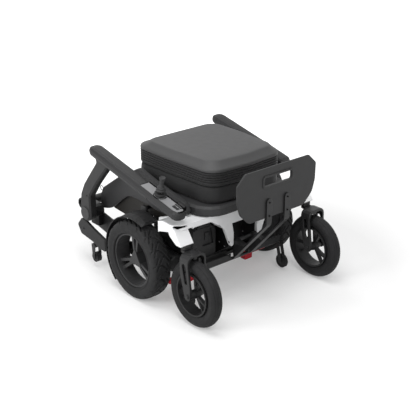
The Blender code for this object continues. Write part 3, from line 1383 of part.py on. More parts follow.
def joystick_panel():
    """Light panel around the joystick's boot."""
    panel = module_block("joystick_panel", panel_outline(0.0), PANEL_TOP - PANEL_T, PANEL_TOP, light_panel())
    base_place, up = joystick_frame()
    cut(panel, rod("boot_hole", base_place - up * 0.02, base_place + up * 0.02, BOOT_NECK_R + SEAT_GAP,
                   None, 28))
    for y in BUTTON_Y:
        cut(panel, module_block("button_hole", button_outline(y, RUN_GAP), -0.01, 0.05))
    return panel


def joystick_boot():
    """Fixed lowest ring of the rubber boot, with a low dome that the stick's bell rides over."""
    base, up = joystick_frame()
    foot = -PIVOT_RISE - BOOT_SINK
    profile = [(GIMBAL_CAVITY_R, foot), (BOOT_NECK_R, foot), (BOOT_NECK_R, 0.0), (BOOT_R - 0.001, 0.0),
               (BOOT_R, 0.0022),
               (BOOT_R - 0.0008, BOOT_TOP * 0.72), (BOOT_R - 0.004, BOOT_TOP), (0.0106, BOOT_TOP)]
    for angle in (39, 41.5, 44):
        lean = math.radians(angle)
        profile.append((DOME_R * math.cos(lean), DOME_R * math.sin(lean)))
    return turned("joystick_boot", profile, base, up, rubber(), 20)


def joystick_gimbal():
    """Inner cross pin that lets the stick tip both ways."""
    base, up = joystick_frame()
    reach = Vector((GIMBAL_CAVITY_R - 0.001, 0, 0))
    return rod("joystick_gimbal", base - reach, base + reach, GIMBAL_R, steel(), 12)


def joystick_stick():
    """Stick with a flared, dished knob and the ringed upper bell of the boot."""
    base, up = joystick_frame()
    bell = DOME_R + BELL_GAP
    tip = GIMBAL_R + RUN_GAP
    profile = [(0.0, tip), (0.0010, tip), (STICK_R, 0.0050), (STICK_R, bell * math.sin(math.radians(78))),
               (bell * math.cos(math.radians(60)), bell * math.sin(math.radians(60))),
               (0.0170, 0.0168), (0.0182, 0.0190), (0.0168, 0.0225), (0.0132, 0.0240), (0.0148, 0.0258),
               (0.0140, 0.0290),
               (0.0102, 0.0312), (0.0080, 0.0360), (0.0072, 0.0430), (0.0090, 0.0560),
               (KNOB_R, STICK_LEN - 0.0030),
               (KNOB_R - 0.0008, STICK_LEN), (KNOB_R - 0.0042, STICK_LEN - 0.0022), (0.0, STICK_LEN - 0.0036)]
    return turned("joystick_stick", profile, base, up, rubber(), ROUND_STEPS)


def button_outline(y, grow):
    """Outline of a push button or of its hole in the panel."""
    wide = BUTTON_W / 2 + grow
    long = BUTTON_L / 2 + grow
    middle = slope_len(y)
    corners = ((-wide, middle - long), (wide, middle - long), (wide, middle + long), (-wide, middle + long))
    return rounded([(u, v, 0.001) for u, v in corners], 1)


def button(name, y):
    """Small rectangular push button in the panel."""
    floor = PANEL_TOP - PANEL_T + BUTTON_TRAVEL
    return module_block(name, button_outline(y, 0.0), floor, PANEL_TOP + 0.0010, rubber())


# Assembly

def build_base():
    """Everything that stays with the seat."""
    front_frame()
    footplate_pin()
    footrest_bracket()
    chassis()
    front_roller_frame()
    seat_pan()
    seat_cushion()
    backrest_bracket()
    release_ring()


def build_footrest():
    hinge = pivot("footplate_hinge", (0, LUG_Y, LUG_TIP_Z))
    hang(hinge, footplate(), footplate_bars())


def build_backrest():
    hinge = pivot("backrest_hinge", (0, BACK_PIVOT_Y, BACK_PIVOT_Z))
    hang(hinge, backrest_shell(), backrest_cushion(), backrest_arms())


def build_casters():
    for side in (-1, 1):
        stem_housing(side)
        swivel = pivot("caster_swivel_" + side_name(side), (side * CASTER_X, STEM_Y, CASTER_R))
        axle = pivot("caster_axle_" + side_name(side), caster_centre(side), swivel)
        hang(swivel, caster_fork(side))
        hang(axle, caster_rim(side), caster_tyre(side))


def build_rear_frame():
    """Rear frame with all that it carries."""
    frame = pivot("rear_frame_pivot", (0, FRAME_PIVOT_Y, FRAME_PIVOT_Z))
    hang(frame, rear_cross_tube())
    for side in (-1, 1):
        word = side_name(side)
        hang(frame, side_plate(side), rear_arm(side), post_bracket(side), drive_motor(side), fender(side))
        hang(frame, rear_roller_fork(side))
        axle = pivot("drive_axle_" + word, (side * DRIVE_X, DRIVE_Y, DRIVE_R), frame)
        hang(axle, drive_rim(side), drive_tyre(side))
        x, y, z = REAR_ROLLER
        small = pivot("rear_roller_axle_" + word, (side * x, y, z), frame)
        hang(small, roller("rear_roller_" + word, (side * x, y, z), REAR_ROLLER_R, REAR_ROLLER_W, rubber()))
        arm = pivot("armrest_pivot_" + word, (side * PAD_X, POST_PIVOT_Y, POST_PIVOT_Z), frame)
        hang(arm, armrest_post(side), armrest_pad(side), pivot_cap(side))
        if side < 0:
            build_joystick(arm)


def build_joystick(arm):
    """Joystick and buttons on the right armrest."""
    base, up = joystick_frame()
    hang(arm, joystick_module(), joystick_panel(), joystick_boot())
    tip = pivot("joystick_pivot", base, arm)
    hang(tip, joystick_gimbal(), joystick_stick())
    for name, y in zip(("power_button", "speed_button"), BUTTON_Y):
        place = along_module(y, 0.0, PANEL_TOP)
        hang(pivot(name + "_seat", place, arm), button(name, y))


def build_small_movers():
    """Batteries, freewheel levers and front rollers."""
    for side in (-1, 1):
        word = side_name(side)
        slide = pivot("battery_slide_" + word, (side * PACK_OUT_X, PACK_FRONT_Y, TRAY_Z + TRAY_T))
        hang(slide, battery(side))
        hinge = pivot("lever_pivot_" + word, (side * LEVER_X, LEVER_Y, LEVER_Z))
        hang(hinge, freewheel_lever(side))
        x, y, z = FRONT_ROLLER
        axle = pivot("front_roller_axle_" + word, (side * x, y, z))
        hang(axle, roller("front_roller_" + word, (side * x, y, z), FRONT_ROLLER_R, FRONT_ROLLER_W, rubber()))


def main():
    clear_scene()
    build_base()
    build_footrest()
    build_backrest()
    build_casters()
    build_rear_frame()
    build_small_movers()


main()
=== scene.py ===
"""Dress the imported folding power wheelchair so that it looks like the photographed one.

Each sub-assembly is a class that builds its own pieces from the boxes of the CAD nodes it stands
for, and each finish is a class that makes one procedural material in object coordinates.
"""
import sys
import json
import logging
import math
from abc import ABC, abstractmethod
from dataclasses import dataclass, replace
from enum import Enum
from functools import cache
from typing import ClassVar, Sequence

import bmesh
import bpy
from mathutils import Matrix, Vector
from mathutils.bvhtree import BVHTree

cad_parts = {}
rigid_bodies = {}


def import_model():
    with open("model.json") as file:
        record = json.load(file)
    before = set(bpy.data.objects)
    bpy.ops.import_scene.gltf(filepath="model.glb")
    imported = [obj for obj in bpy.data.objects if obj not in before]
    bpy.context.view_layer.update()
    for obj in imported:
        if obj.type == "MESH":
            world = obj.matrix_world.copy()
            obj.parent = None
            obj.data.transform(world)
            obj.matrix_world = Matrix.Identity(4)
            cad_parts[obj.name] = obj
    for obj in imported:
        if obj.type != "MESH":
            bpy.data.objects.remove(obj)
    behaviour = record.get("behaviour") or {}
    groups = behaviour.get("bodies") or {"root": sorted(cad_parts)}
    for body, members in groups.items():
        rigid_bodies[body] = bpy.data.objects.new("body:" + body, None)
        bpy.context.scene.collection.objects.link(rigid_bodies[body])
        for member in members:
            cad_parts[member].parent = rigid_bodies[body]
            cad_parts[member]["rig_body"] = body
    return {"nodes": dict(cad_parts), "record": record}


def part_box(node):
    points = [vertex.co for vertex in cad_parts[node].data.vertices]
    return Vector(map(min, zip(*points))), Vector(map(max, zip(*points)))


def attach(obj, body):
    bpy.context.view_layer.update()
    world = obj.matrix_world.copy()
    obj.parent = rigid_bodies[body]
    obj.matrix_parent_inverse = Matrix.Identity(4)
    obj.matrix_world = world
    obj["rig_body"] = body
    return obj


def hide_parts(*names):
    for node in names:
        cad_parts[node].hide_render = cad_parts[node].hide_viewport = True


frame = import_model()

log = logging.getLogger("chair")
Socket = bpy.types.NodeSocket
Triple = tuple[float, float, float]
Pair = tuple[float, float]
Ring = list[Vector]

ACROSS = (1.0, 0.0, 0.0)
REARWARD = (0.0, 1.0, 0.0)
UPWARD = (0.0, 0.0, 1.0)
DOWNWARD = (0.0, 0.0, -1.0)
PURE_WHITE = (1.0, 1.0, 1.0, 1.0)
# Distance from the chair's middle that is outside of it in every direction
OUTSIDE = 0.6


class Side(Enum):
    """The chair's own left and right."""

    LEFT = 1
    RIGHT = -1

    @property
    def word(self) -> str:
        """Ending of the node names on this side."""
        return self.name.lower()


def body_of(node: str) -> str:
    """Return the CAD body that a node rides on."""
    return frame["nodes"][node]["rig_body"]


def centre_of(node: str) -> Vector:
    """Return the middle of a CAD node's box."""
    low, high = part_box(node)
    return (low + high) / 2


def place(name: str, data: bpy.types.ID) -> bpy.types.Object:
    """Put a new object into the scene, at the origin.

    Args:
        name: Name of the object.
        data: Its mesh, camera or light.

    Returns:
        The object.
    """
    item = bpy.data.objects.new(name, data)
    bpy.context.scene.collection.objects.link(item)
    return item


def set_up(name: str, data: bpy.types.ID, spot: Sequence[float], aim: Sequence[float]) -> bpy.types.Object:
    """Put a new camera or light at a spot and turn it to a point.

    Args:
        name: Name of the object.
        data: Its camera or light.
        spot: Where it stands.
        aim: Point that it faces.

    Returns:
        The object.
    """
    item = place(name, data)
    item.location = spot
    item.rotation_mode = "QUATERNION"
    item.rotation_quaternion = (Vector(aim) - Vector(spot)).to_track_quat("-Z", "Y")
    return item


def bake(item: bpy.types.Object) -> bpy.types.Mesh:
    """Return what an object's modifiers make of its mesh, and take the modifiers off."""
    graph = bpy.context.evaluated_depsgraph_get()
    made = bpy.data.meshes.new_from_object(item.evaluated_get(graph))
    item.modifiers.clear()
    return made


class Graph:
    """A node tree, with short calls for adding nodes and linking them."""

    def __init__(self, tree: bpy.types.NodeTree) -> None:
        """Take over a node tree."""
        self.tree = tree

    def feed(self, socket: Socket, value: object) -> None:
        """Link an input or set it.

        Args:
            socket: The input.
            value: Output socket to link it to, or its new value.
        """
        if isinstance(value, Socket):
            self.tree.links.new(value, socket)
        else:
            socket.default_value = value

    def fill(self, node: bpy.types.Node, **inputs: object) -> None:
        """Feed a node's inputs.

        Args:
            node: The node.
            **inputs: Values or output sockets by the input's name, with _ for a blank.
        """
        for name, value in inputs.items():
            self.feed(node.inputs[name.replace("_", " ")], value)

    def add(self, kind: str, options: dict[str, object] | None = None, **inputs: object) -> bpy.types.Node:
        """Add a node.

        Args:
            kind: Blender's node type.
            options: Attributes of the node itself.
            **inputs: Values or output sockets by the input's name, with _ for a blank.

        Returns:
            The new node.
        """
        node = self.tree.nodes.new(kind)
        for name, value in (options or {}).items():
            setattr(node, name, value)
        self.fill(node, **inputs)
        return node

    def number(self, operation: str, first: object, second: object) -> Socket:
        """Combine two numbers.

        Args:
            operation: Blender's name of the operation.
            first: Socket or value of the first number.
            second: Socket or value of the second number.

        Returns:
            The result's socket.
        """
        node = self.add("ShaderNodeMath", {"operation": operation})
        self.feed(node.inputs[0], first)
        self.feed(node.inputs[1], second)
        return node.outputs[0]


class ShaderGraph(Graph):
    """A material's nodes.

    Attributes:
        MIX_SHARE: Place of the Mix node's share among its inputs, whose names repeat.
        MIX_FIRST: Place of its first colour.
        MIX_SECOND: Place of its second colour.
        MIX_RESULT: Place of the mixed colour among its outputs.
        FLAT: How far two directions agree on a face, from 0 to 1.
        SHARP: How far they agree on an edge.
    """

    MIX_SHARE = 0
    MIX_FIRST = 6
    MIX_SECOND = 7
    MIX_RESULT = 2
    FLAT = 0.99
    SHARP = 0.85

    def __init__(self, name: str) -> None:
        """Start a Principled material of a name."""
        self.material = bpy.data.materials.new(name)
        self.material.use_nodes = True
        super().__init__(self.material.node_tree)
        self.shader = self.tree.nodes["Principled BSDF"]
        self.coords = self.add("ShaderNodeTexCoord").outputs["Object"]

    def noise(self, scale: float, detail: float = 2.0) -> Socket:
        """Add a noise in object coordinates.

        Args:
            scale: Waves per metre.
            detail: Octaves.

        Returns:
            The noise value's socket.
        """
        return self.add("ShaderNodeTexNoise", Vector=self.coords, Scale=scale, Detail=detail).outputs["Fac"]

    def between(self, value: Socket, low: float, high: float, out_low: float, out_high: float) -> Socket:
        """Map a value from one range to another.

        Args:
            value: Socket to read.
            low: Start of the range read.
            high: End of the range read.
            out_low: Result at low.
            out_high: Result at high.

        Returns:
            The result's socket.
        """
        return self.add("ShaderNodeMapRange", Value=value, From_Min=low, From_Max=high, To_Min=out_low,
                        To_Max=out_high).outputs["Result"]

    def blend(self, share: Socket, first: Triple | Socket, second: Triple) -> Socket:
        """Mix two colours.

        Args:
            share: Socket that is 0 for the first colour and 1 for the second.
            first: Linear RGB, or the socket of a colour.
            second: Linear RGB.

        Returns:
            The colour's socket.
        """
        node = self.add("ShaderNodeMix", {"data_type": "RGBA"})
        self.feed(node.inputs[self.MIX_SHARE], share)
        self.feed(node.inputs[self.MIX_FIRST], first if isinstance(first, Socket) else (*first, 1.0))
        self.feed(node.inputs[self.MIX_SECOND], (*second, 1.0))
        return node.outputs[self.MIX_RESULT]

    def edges(self, radius: float) -> tuple[Socket, Socket]:
        """Find the edges of a moulding.

        Args:
            radius: How far an edge's round reaches, in metres.

        Returns:
            Socket of the rounded normal, and socket that is 1 on edges and 0 on faces.
        """
        rounded = self.add("ShaderNodeBevel", {"samples": 4}, Radius=radius).outputs["Normal"]
        dot = self.add("ShaderNodeVectorMath", {"operation": "DOT_PRODUCT"})
        self.feed(dot.inputs[0], rounded)
        self.feed(dot.inputs[1], self.add("ShaderNodeNewGeometry").outputs["Normal"])
        return rounded, self.between(dot.outputs["Value"], self.FLAT, self.SHARP, 0.0, 1.0)

    def bump(self, height: Socket, distance: float, strength: float,
             normal: Socket | None = None) -> Socket:
        """Add a bump.

        Args:
            height: Socket of the height, 0 to 1.
            distance: Height in metres.
            strength: Share of the effect.
            normal: Socket of the normal that the bump starts from.

        Returns:
            The new normal's socket.
        """
        node = self.add("ShaderNodeBump", Height=height, Distance=distance, Strength=strength)
        if normal is not None:
            self.feed(node.inputs["Normal"], normal)
        return node.outputs["Normal"]


@dataclass(frozen=True)
class Finish(ABC):
    """What every finish has.

    Attributes:
        name: Name of the material.
        slot: Material slot of the record that it stands for.
        colour: Linear RGB of the clean surface.
        roughness: Mean roughness.
    """

    name: str
    slot: str
    colour: Triple
    roughness: float

    @abstractmethod
    def paint(self, graph: ShaderGraph) -> None:
        """Fill in the material's nodes."""

    def material(self) -> bpy.types.Material:
        """Return the material, made on its first use."""
        known = bpy.data.materials.get(self.name)
        if known:
            return known
        graph = ShaderGraph(self.name)
        self.paint(graph)
        return graph.material

    def shade(self, factor: float) -> Triple:
        """Return the colour times a factor."""
        return tuple(min(channel * factor, 1.0) for channel in self.colour)

    def mottled(self, graph: ShaderGraph, clouds: Socket, dark: float, light: float) -> Socket:
        """Return the colour with clouds of darker and lighter shades.

        Args:
            graph: The material's nodes.
            clouds: Socket of the clouds.
            dark: Factor of the darkest shade.
            light: Factor of the lightest shade.

        Returns:
            The colour's socket.
        """
        return graph.blend(clouds, self.shade(dark), self.shade(light))

    def uneven(self, graph: ShaderGraph, pattern: Socket, less: float, more: float) -> Socket:
        """Return the roughness with smoother and rougher places.

        Args:
            graph: The material's nodes.
            pattern: Socket of the pattern.
            less: How much smoother the smoothest places are.
            more: How much rougher the roughest places are.

        Returns:
            The roughness's socket.
        """
        return graph.between(pattern, low=0.3, high=0.7, out_low=self.roughness - less,
                             out_high=self.roughness + more)


@dataclass(frozen=True)
class Moulded(Finish):
    """Moulded plastic with a fine leather grain and a painted highlight in patches along its edges.

    Attributes:
        grain: Grains per metre.
        relief: Height of the grain in metres.
        edge: How much lighter the painted highlight along the edges is, as a factor.
        edge_round: Radius of an edge's round.
    """

    grain: float = 1100.0
    relief: float = 0.00010
    edge: float = 1.5
    edge_round: float = 0.0016

    def base(self, graph: ShaderGraph) -> Socket:
        """Return the colour before the painted edge highlight."""
        return self.mottled(graph, graph.noise(scale=9.0, detail=3.0), dark=0.97, light=1.03)

    def paint(self, graph: ShaderGraph) -> None:
        """Fill in the material's nodes."""
        rounded, edge = graph.edges(self.edge_round)
        # Painted highlight: edges are lightened in patches, for the light that a rounded edge catches.
        patches = graph.between(graph.noise(scale=60.0), low=0.35, high=0.75, out_low=0.15, out_high=0.75)
        edge_highlight = graph.number("MULTIPLY", edge, patches)
        cell = graph.add("ShaderNodeTexVoronoi", Vector=graph.coords, Scale=self.grain).outputs["Distance"]
        height = graph.number("ADD", cell, graph.noise(self.grain * 0.4))
        graph.fill(graph.shader, Specular_IOR_Level=0.28,
                   Base_Color=graph.blend(edge_highlight, self.base(graph), self.shade(self.edge)),
                   Roughness=self.uneven(graph, graph.noise(scale=38.0, detail=4.0), less=0.02, more=0.03),
                   Normal=graph.bump(height, self.relief, strength=0.35, normal=rounded))


@dataclass(frozen=True)
class Painted(Finish):
    """Paint or powder coat on cast or bent metal.

    Attributes:
        metallic: Share of metal in the coat.
        coat: Weight of the clear coat.
        peel: Height of the orange peel in metres.
        edge_round: Radius of an edge's round.
    """

    metallic: float = 0.0
    coat: float = 0.3
    peel: float = 0.00012
    edge_round: float = 0.0022

    def paint(self, graph: ShaderGraph) -> None:
        """Fill in the material's nodes."""
        base = self.mottled(graph, graph.noise(scale=5.0), dark=0.97, light=1.03)
        rounded, edge = graph.edges(self.edge_round)
        # Painted highlight: edges are lightened in patches, for the light that a rounded edge catches.
        patches = graph.between(graph.noise(scale=90.0), low=0.4, high=0.7, out_low=0.0, out_high=0.35)
        paint_edge_highlight = graph.number("MULTIPLY", edge, patches)
        graph.fill(graph.shader, Metallic=self.metallic, Coat_Weight=self.coat, Coat_Roughness=0.22,
                   Specular_IOR_Level=0.35, Base_Color=graph.blend(paint_edge_highlight, base, self.shade(1.25)),
                   Roughness=self.uneven(graph, graph.noise(scale=24.0, detail=3.0), less=0.04, more=0.05),
                   Normal=graph.bump(graph.noise(scale=420.0, detail=1.0), self.peel, 0.25, rounded))


@dataclass(frozen=True)
class Rubber(Finish):
    """Matte rubber with a dusty bloom.

    Attributes:
        bloom: Share of the surface that the bloom lightens.
        shine: Level of the reflection.
    """

    bloom: float = 0.25
    shine: float = 0.22

    def paint(self, graph: ShaderGraph) -> None:
        """Fill in the material's nodes."""
        clouds = graph.noise(scale=14.0, detail=4.0)
        dust = graph.between(clouds, low=0.40, high=0.75, out_low=0.0, out_high=self.bloom)
        graph.fill(graph.shader, Specular_IOR_Level=self.shine,
                   Base_Color=self.mottled(graph, dust, dark=1.0, light=1.9),
                   Roughness=self.uneven(graph, graph.noise(scale=45.0, detail=3.0), less=0.06, more=0.08),
                   Normal=graph.bump(graph.noise(scale=900.0, detail=3.0), distance=0.00015, strength=0.4))


@dataclass(frozen=True)
class Cover(Finish):
    """Smooth stretch cover with a fine weave.

    Attributes:
        thread: Threads per metre.
    """

    thread: float = 700.0

    def paint(self, graph: ShaderGraph) -> None:
        """Fill in the material's nodes."""
        along_x, along_y, along_z = (
            graph.add("ShaderNodeTexWave", {"bands_direction": direction}, Vector=graph.coords,
                      Scale=self.thread / 2, Distortion=0.6).outputs["Fac"] for direction in "XYZ")
        height = graph.number("MAXIMUM", graph.number("MAXIMUM", along_x, along_y), along_z)
        base = self.mottled(graph, graph.noise(scale=7.0, detail=3.0), dark=0.92, light=1.08)
        # Painted shade: the weave's low places between the threads are darkened.
        gap_shade = graph.between(height, low=0.2, high=0.7, out_low=0.10, out_high=0.0)
        graph.fill(graph.shader, Sheen_Weight=0.12, Sheen_Roughness=0.45, Specular_IOR_Level=0.18,
                   Base_Color=graph.blend(gap_shade, base, self.shade(0.6)),
                   Roughness=self.uneven(graph, graph.noise(scale=30.0, detail=3.0), less=0.04, more=0.06),
                   Normal=graph.bump(height, distance=0.00005, strength=0.20))


@dataclass(frozen=True)
class Steel(Finish):
    """Turned or ground steel.

    Attributes:
        edge_round: Radius of an edge's round.
    """

    edge_round: float = 0.0008

    def paint(self, graph: ShaderGraph) -> None:
        """Fill in the material's nodes."""
        streak = graph.noise(scale=260.0, detail=5.0)
        rounded, _ = graph.edges(self.edge_round)
        graph.fill(graph.shader, Metallic=1.0,
                   Base_Color=self.mottled(graph, graph.noise(scale=30.0), dark=0.85, light=1.10),
                   Roughness=self.uneven(graph, streak, less=0.08, more=0.10),
                   Normal=graph.bump(streak, distance=0.00004, strength=0.3, normal=rounded))


@dataclass(frozen=True)
class SkirtMoulded(Moulded):
    """Moulding whose part near the chair's middle and low down is darkened as painted shade.

    Attributes:
        skirt: Linear RGB of the painted shade.
        skirt_x: How far from the chair's middle the painted shade reaches.
        skirt_top: Height of the painted shade's upper edge.
        blur_x: Width of the change at its outer edge.
        blur_z: Height of the change at its upper edge.
    """

    skirt: Triple = (0.0115, 0.0100, 0.0083)
    skirt_x: float = 0.2228
    skirt_top: float = 0.352
    blur_x: float = 0.0008
    blur_z: float = 0.004

    def base(self, graph: ShaderGraph) -> Socket:
        """Return the colour before the painted edge highlight, with painted shade near the chair's middle
        and low down.
        """
        spot = graph.add("ShaderNodeSeparateXYZ", Vector=graph.coords).outputs
        outward = graph.number("ABSOLUTE", spot["X"], 0.0)
        inside = graph.between(outward, self.skirt_x, self.skirt_x + self.blur_x, 1.0, 0.0)
        low = graph.between(spot["Z"], self.skirt_top, self.skirt_top + self.blur_z, 1.0, 0.0)
        # Painted shade: the part near the chair's middle and low down takes the dark colour.
        return graph.blend(graph.number("MULTIPLY", inside, low), super().base(graph), self.skirt)


WHITE = Painted("white_paint", "white_cast", (0.89, 0.895, 0.905), 0.32, coat=0.35)
BLACK = Moulded("black_moulding", "black_plastic", (0.009, 0.009, 0.0095), 0.50)
# PAN: painted shade gives the pan's lower inner part, under the wings, a brownish black.
PAN = SkirtMoulded("pan_moulding", "black_plastic", (0.029, 0.029, 0.030), 0.50)
GREY = Moulded("grey_moulding", "grey_plastic", (0.034, 0.034, 0.035), 0.52)
FOOT = Moulded("foot_moulding", "grey_plastic", (0.026, 0.026, 0.0265), 0.52)
DISH = Moulded("dish_moulding", "grey_plastic", (0.014, 0.014, 0.0145), 0.52)
ARM = Moulded("arm_moulding", "grey_plastic", (0.016, 0.016, 0.0165), 0.50, grain=1300.0, relief=0.00005)
# TRIM: painted shade turns the joystick module's inner side black, for the shaded gap beside the seat.
TRIM = SkirtMoulded("trim_moulding", "grey_plastic", (0.016, 0.016, 0.0165), 0.50, grain=1300.0,
                    relief=0.00005, skirt=(0.003, 0.003, 0.003), skirt_x=0.2884, skirt_top=1.0)
SHELL = Moulded("shell_moulding", "grey_plastic", (0.054, 0.054, 0.055), 0.52, grain=900.0, relief=0.00005)
COAT = Painted("black_coat", "black_metal", (0.010, 0.010, 0.0105), 0.42, metallic=0.1, coat=0.05)
TYRE = Rubber("tyre_rubber", "tyre", (0.012, 0.012, 0.0125), 0.64)
SOFT = Rubber("soft_rubber", "rubber", (0.016, 0.016, 0.0165), 0.58, bloom=0.12)
STALK = Rubber("stick_rubber", "rubber", (0.034, 0.034, 0.035), 0.62, bloom=0.12)
# Near-black rubber: painted shade in gaps, slits, slots and recesses, and the own colour of the black bar
# screws.
BLACK_AND_GAP_SHADE = Rubber("jet_rubber", "rubber", (0.0018, 0.0018, 0.0018), 0.80, bloom=0.0, shine=0.03)
FABRIC = Cover("seat_cover", "fabric", (0.0170, 0.0170, 0.0175), 0.60)
STEEL = Steel("bright_steel", "steel", (0.42, 0.42, 0.43), 0.34)
RED = Moulded("red_moulding", "red_plastic", (0.62, 0.012, 0.030), 0.34, relief=0.00004, edge=1.15)
PANEL = Moulded("light_moulding", "light_panel", (0.215, 0.215, 0.220), 0.42, relief=0.00005, edge=1.15)
COMMON = (WHITE, BLACK, GREY, COAT, TYRE, SOFT, FABRIC, STEEL, RED, PANEL)
FINISHES = {finish.slot: finish for finish in COMMON}
OWN_FINISHES = {
    "footplate": FOOT, "caster_rim_left": DISH, "caster_rim_right": DISH, "seat_pan": PAN,
    "armrest_pad_left": ARM, "armrest_pad_right": ARM, "armrest_post_left": ARM, "armrest_post_right": ARM,
    "joystick_module": TRIM, "joystick_stick": STALK,
}


class Mesher:
    """Makes plain mesh objects out of points and faces."""

    @staticmethod
    def publish(name: str, bm: bmesh.types.BMesh, finish: Finish, sharp: float = 40.0) -> bpy.types.Object:
        """Turn a bmesh into a finished object.

        Args:
            name: Name of the piece.
            bm: The mesh, which is freed.
            finish: Its finish.
            sharp: Angle above which an edge is shaded sharp, in degrees.

        Returns:
            The object, at the origin.
        """
        bmesh.ops.recalc_face_normals(bm, faces=bm.faces)
        mesh = bpy.data.meshes.new(name)
        bm.to_mesh(mesh)
        bm.free()
        item = place(name, mesh)
        mesh.materials.append(finish.material())
        mesh.shade_smooth()
        mesh.set_sharp_from_angle(angle=math.radians(sharp))
        return item

    @staticmethod
    def skin(rings: Sequence[Ring], closed: bool = False) -> bmesh.types.BMesh:
        """Join rings of points with faces, and cap the ends of an open row.

        Args:
            rings: Rings with the same number of points.
            closed: Whether the last ring joins the first one.

        Returns:
            The bmesh.
        """
        bm = bmesh.new()
        rows = [[bm.verts.new(point) for point in ring] for ring in rings]
        ahead = rows[1:] + rows[:1] if closed else rows[1:]
        for first, second in zip(rows, ahead):
            for step in range(len(first)):
                following = (step + 1) % len(first)
                bm.faces.new((first[step], first[following], second[following], second[step]))
        if not closed:
            bm.faces.new(rows[0])
            bm.faces.new(rows[-1])
        return bm


def fillet(corners: Sequence[Triple], steps: int) -> list[Pair]:
    """Round the corners of a closed flat outline.

    Args:
        corners: Points of x, y and corner radius.
        steps: Steps in each rounded corner.

    Returns:
        Points of x and y.
    """
    spots = []
    for index, (x, y, radius) in enumerate(corners):
        here = Vector((x, y))
        back = (Vector(corners[index - 1][:2]) - here).normalized()
        ahead = (Vector(corners[(index + 1) % len(corners)][:2]) - here).normalized()
        half = back.angle(ahead) / 2
        middle = here + (back + ahead).normalized() * (radius / math.sin(half))
        reach = radius / math.tan(half)
        first, last = here + back * reach - middle, here + ahead * reach - middle
        start = math.atan2(first.y, first.x)
        sweep = (math.atan2(last.y, last.x) - start + math.pi) % (2 * math.pi) - math.pi
        for step in range(steps + 1):
            angle = start + sweep * step / steps
            spots.append((middle.x + radius * math.cos(angle), middle.y + radius * math.sin(angle)))
    return spots


class GeoGraph(Graph):
    """A Geometry Nodes group with named sizes, baked to a plain mesh after its run.

    Attributes:
        MERGE: Distance below which points of the result become one.
    """

    MERGE = 0.00001

    def __init__(self, name: str, sizes: dict[str, float]) -> None:
        """Start a group with geometry, sizes and a material as its inputs.

        Args:
            name: Name of the group.
            sizes: Default value of each size by the input's name.
        """
        super().__init__(bpy.data.node_groups.new(name, "GeometryNodeTree"))
        interface = self.tree.interface
        for direction in ("INPUT", "OUTPUT"):
            interface.new_socket("Geometry", in_out=direction, socket_type="NodeSocketGeometry")
        self.keys: dict[str, str] = {}
        for label, size in sizes.items():
            socket = interface.new_socket(label, in_out="INPUT", socket_type="NodeSocketFloat")
            socket.default_value = size
            self.keys[label] = socket.identifier
        paint = interface.new_socket("Material", in_out="INPUT", socket_type="NodeSocketMaterial")
        self.keys["Material"] = paint.identifier
        self.source = self.add("NodeGroupInput").outputs
        self.sink = self.add("NodeGroupOutput").inputs

    def close(self, made: Socket) -> None:
        """Realize what was made, give it the material and end the group.

        Args:
            made: Socket of the finished geometry.
        """
        real = self.add("GeometryNodeRealizeInstances", Geometry=made)
        painted = self.add("GeometryNodeSetMaterial", Geometry=real.outputs["Geometry"],
                           Material=self.source["Material"])
        self.feed(self.sink["Geometry"], painted.outputs["Geometry"])

    def run(self, name: str, mesh: bpy.types.Mesh, finish: Finish, body: str,
            sizes: dict[str, float]) -> bpy.types.Object:
        """Run the group on a mesh, keep the result as a plain mesh and let it ride a body.

        Args:
            name: Name of the piece.
            mesh: Points or lines that the group works on.
            finish: Finish of the piece.
            body: Body that it rides on.
            sizes: Sizes by the input's name.

        Returns:
            The piece.
        """
        carrier = place(name + "_carrier", mesh)
        modifier = carrier.modifiers.new("nodes", "NODES")
        modifier.node_group = self.tree
        modifier[self.keys["Material"]] = finish.material()
        for label, size in sizes.items():
            modifier[self.keys[label]] = size
        made = bake(carrier)
        bpy.data.objects.remove(carrier)
        bm = bmesh.new()
        bm.from_mesh(made)
        bpy.data.meshes.remove(made)
        bmesh.ops.remove_doubles(bm, verts=bm.verts, dist=self.MERGE)
        piece = Mesher.publish(name, bm, finish)
        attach(piece, body)
        log.info("%s: %d faces", name, len(piece.data.polygons))
        return piece


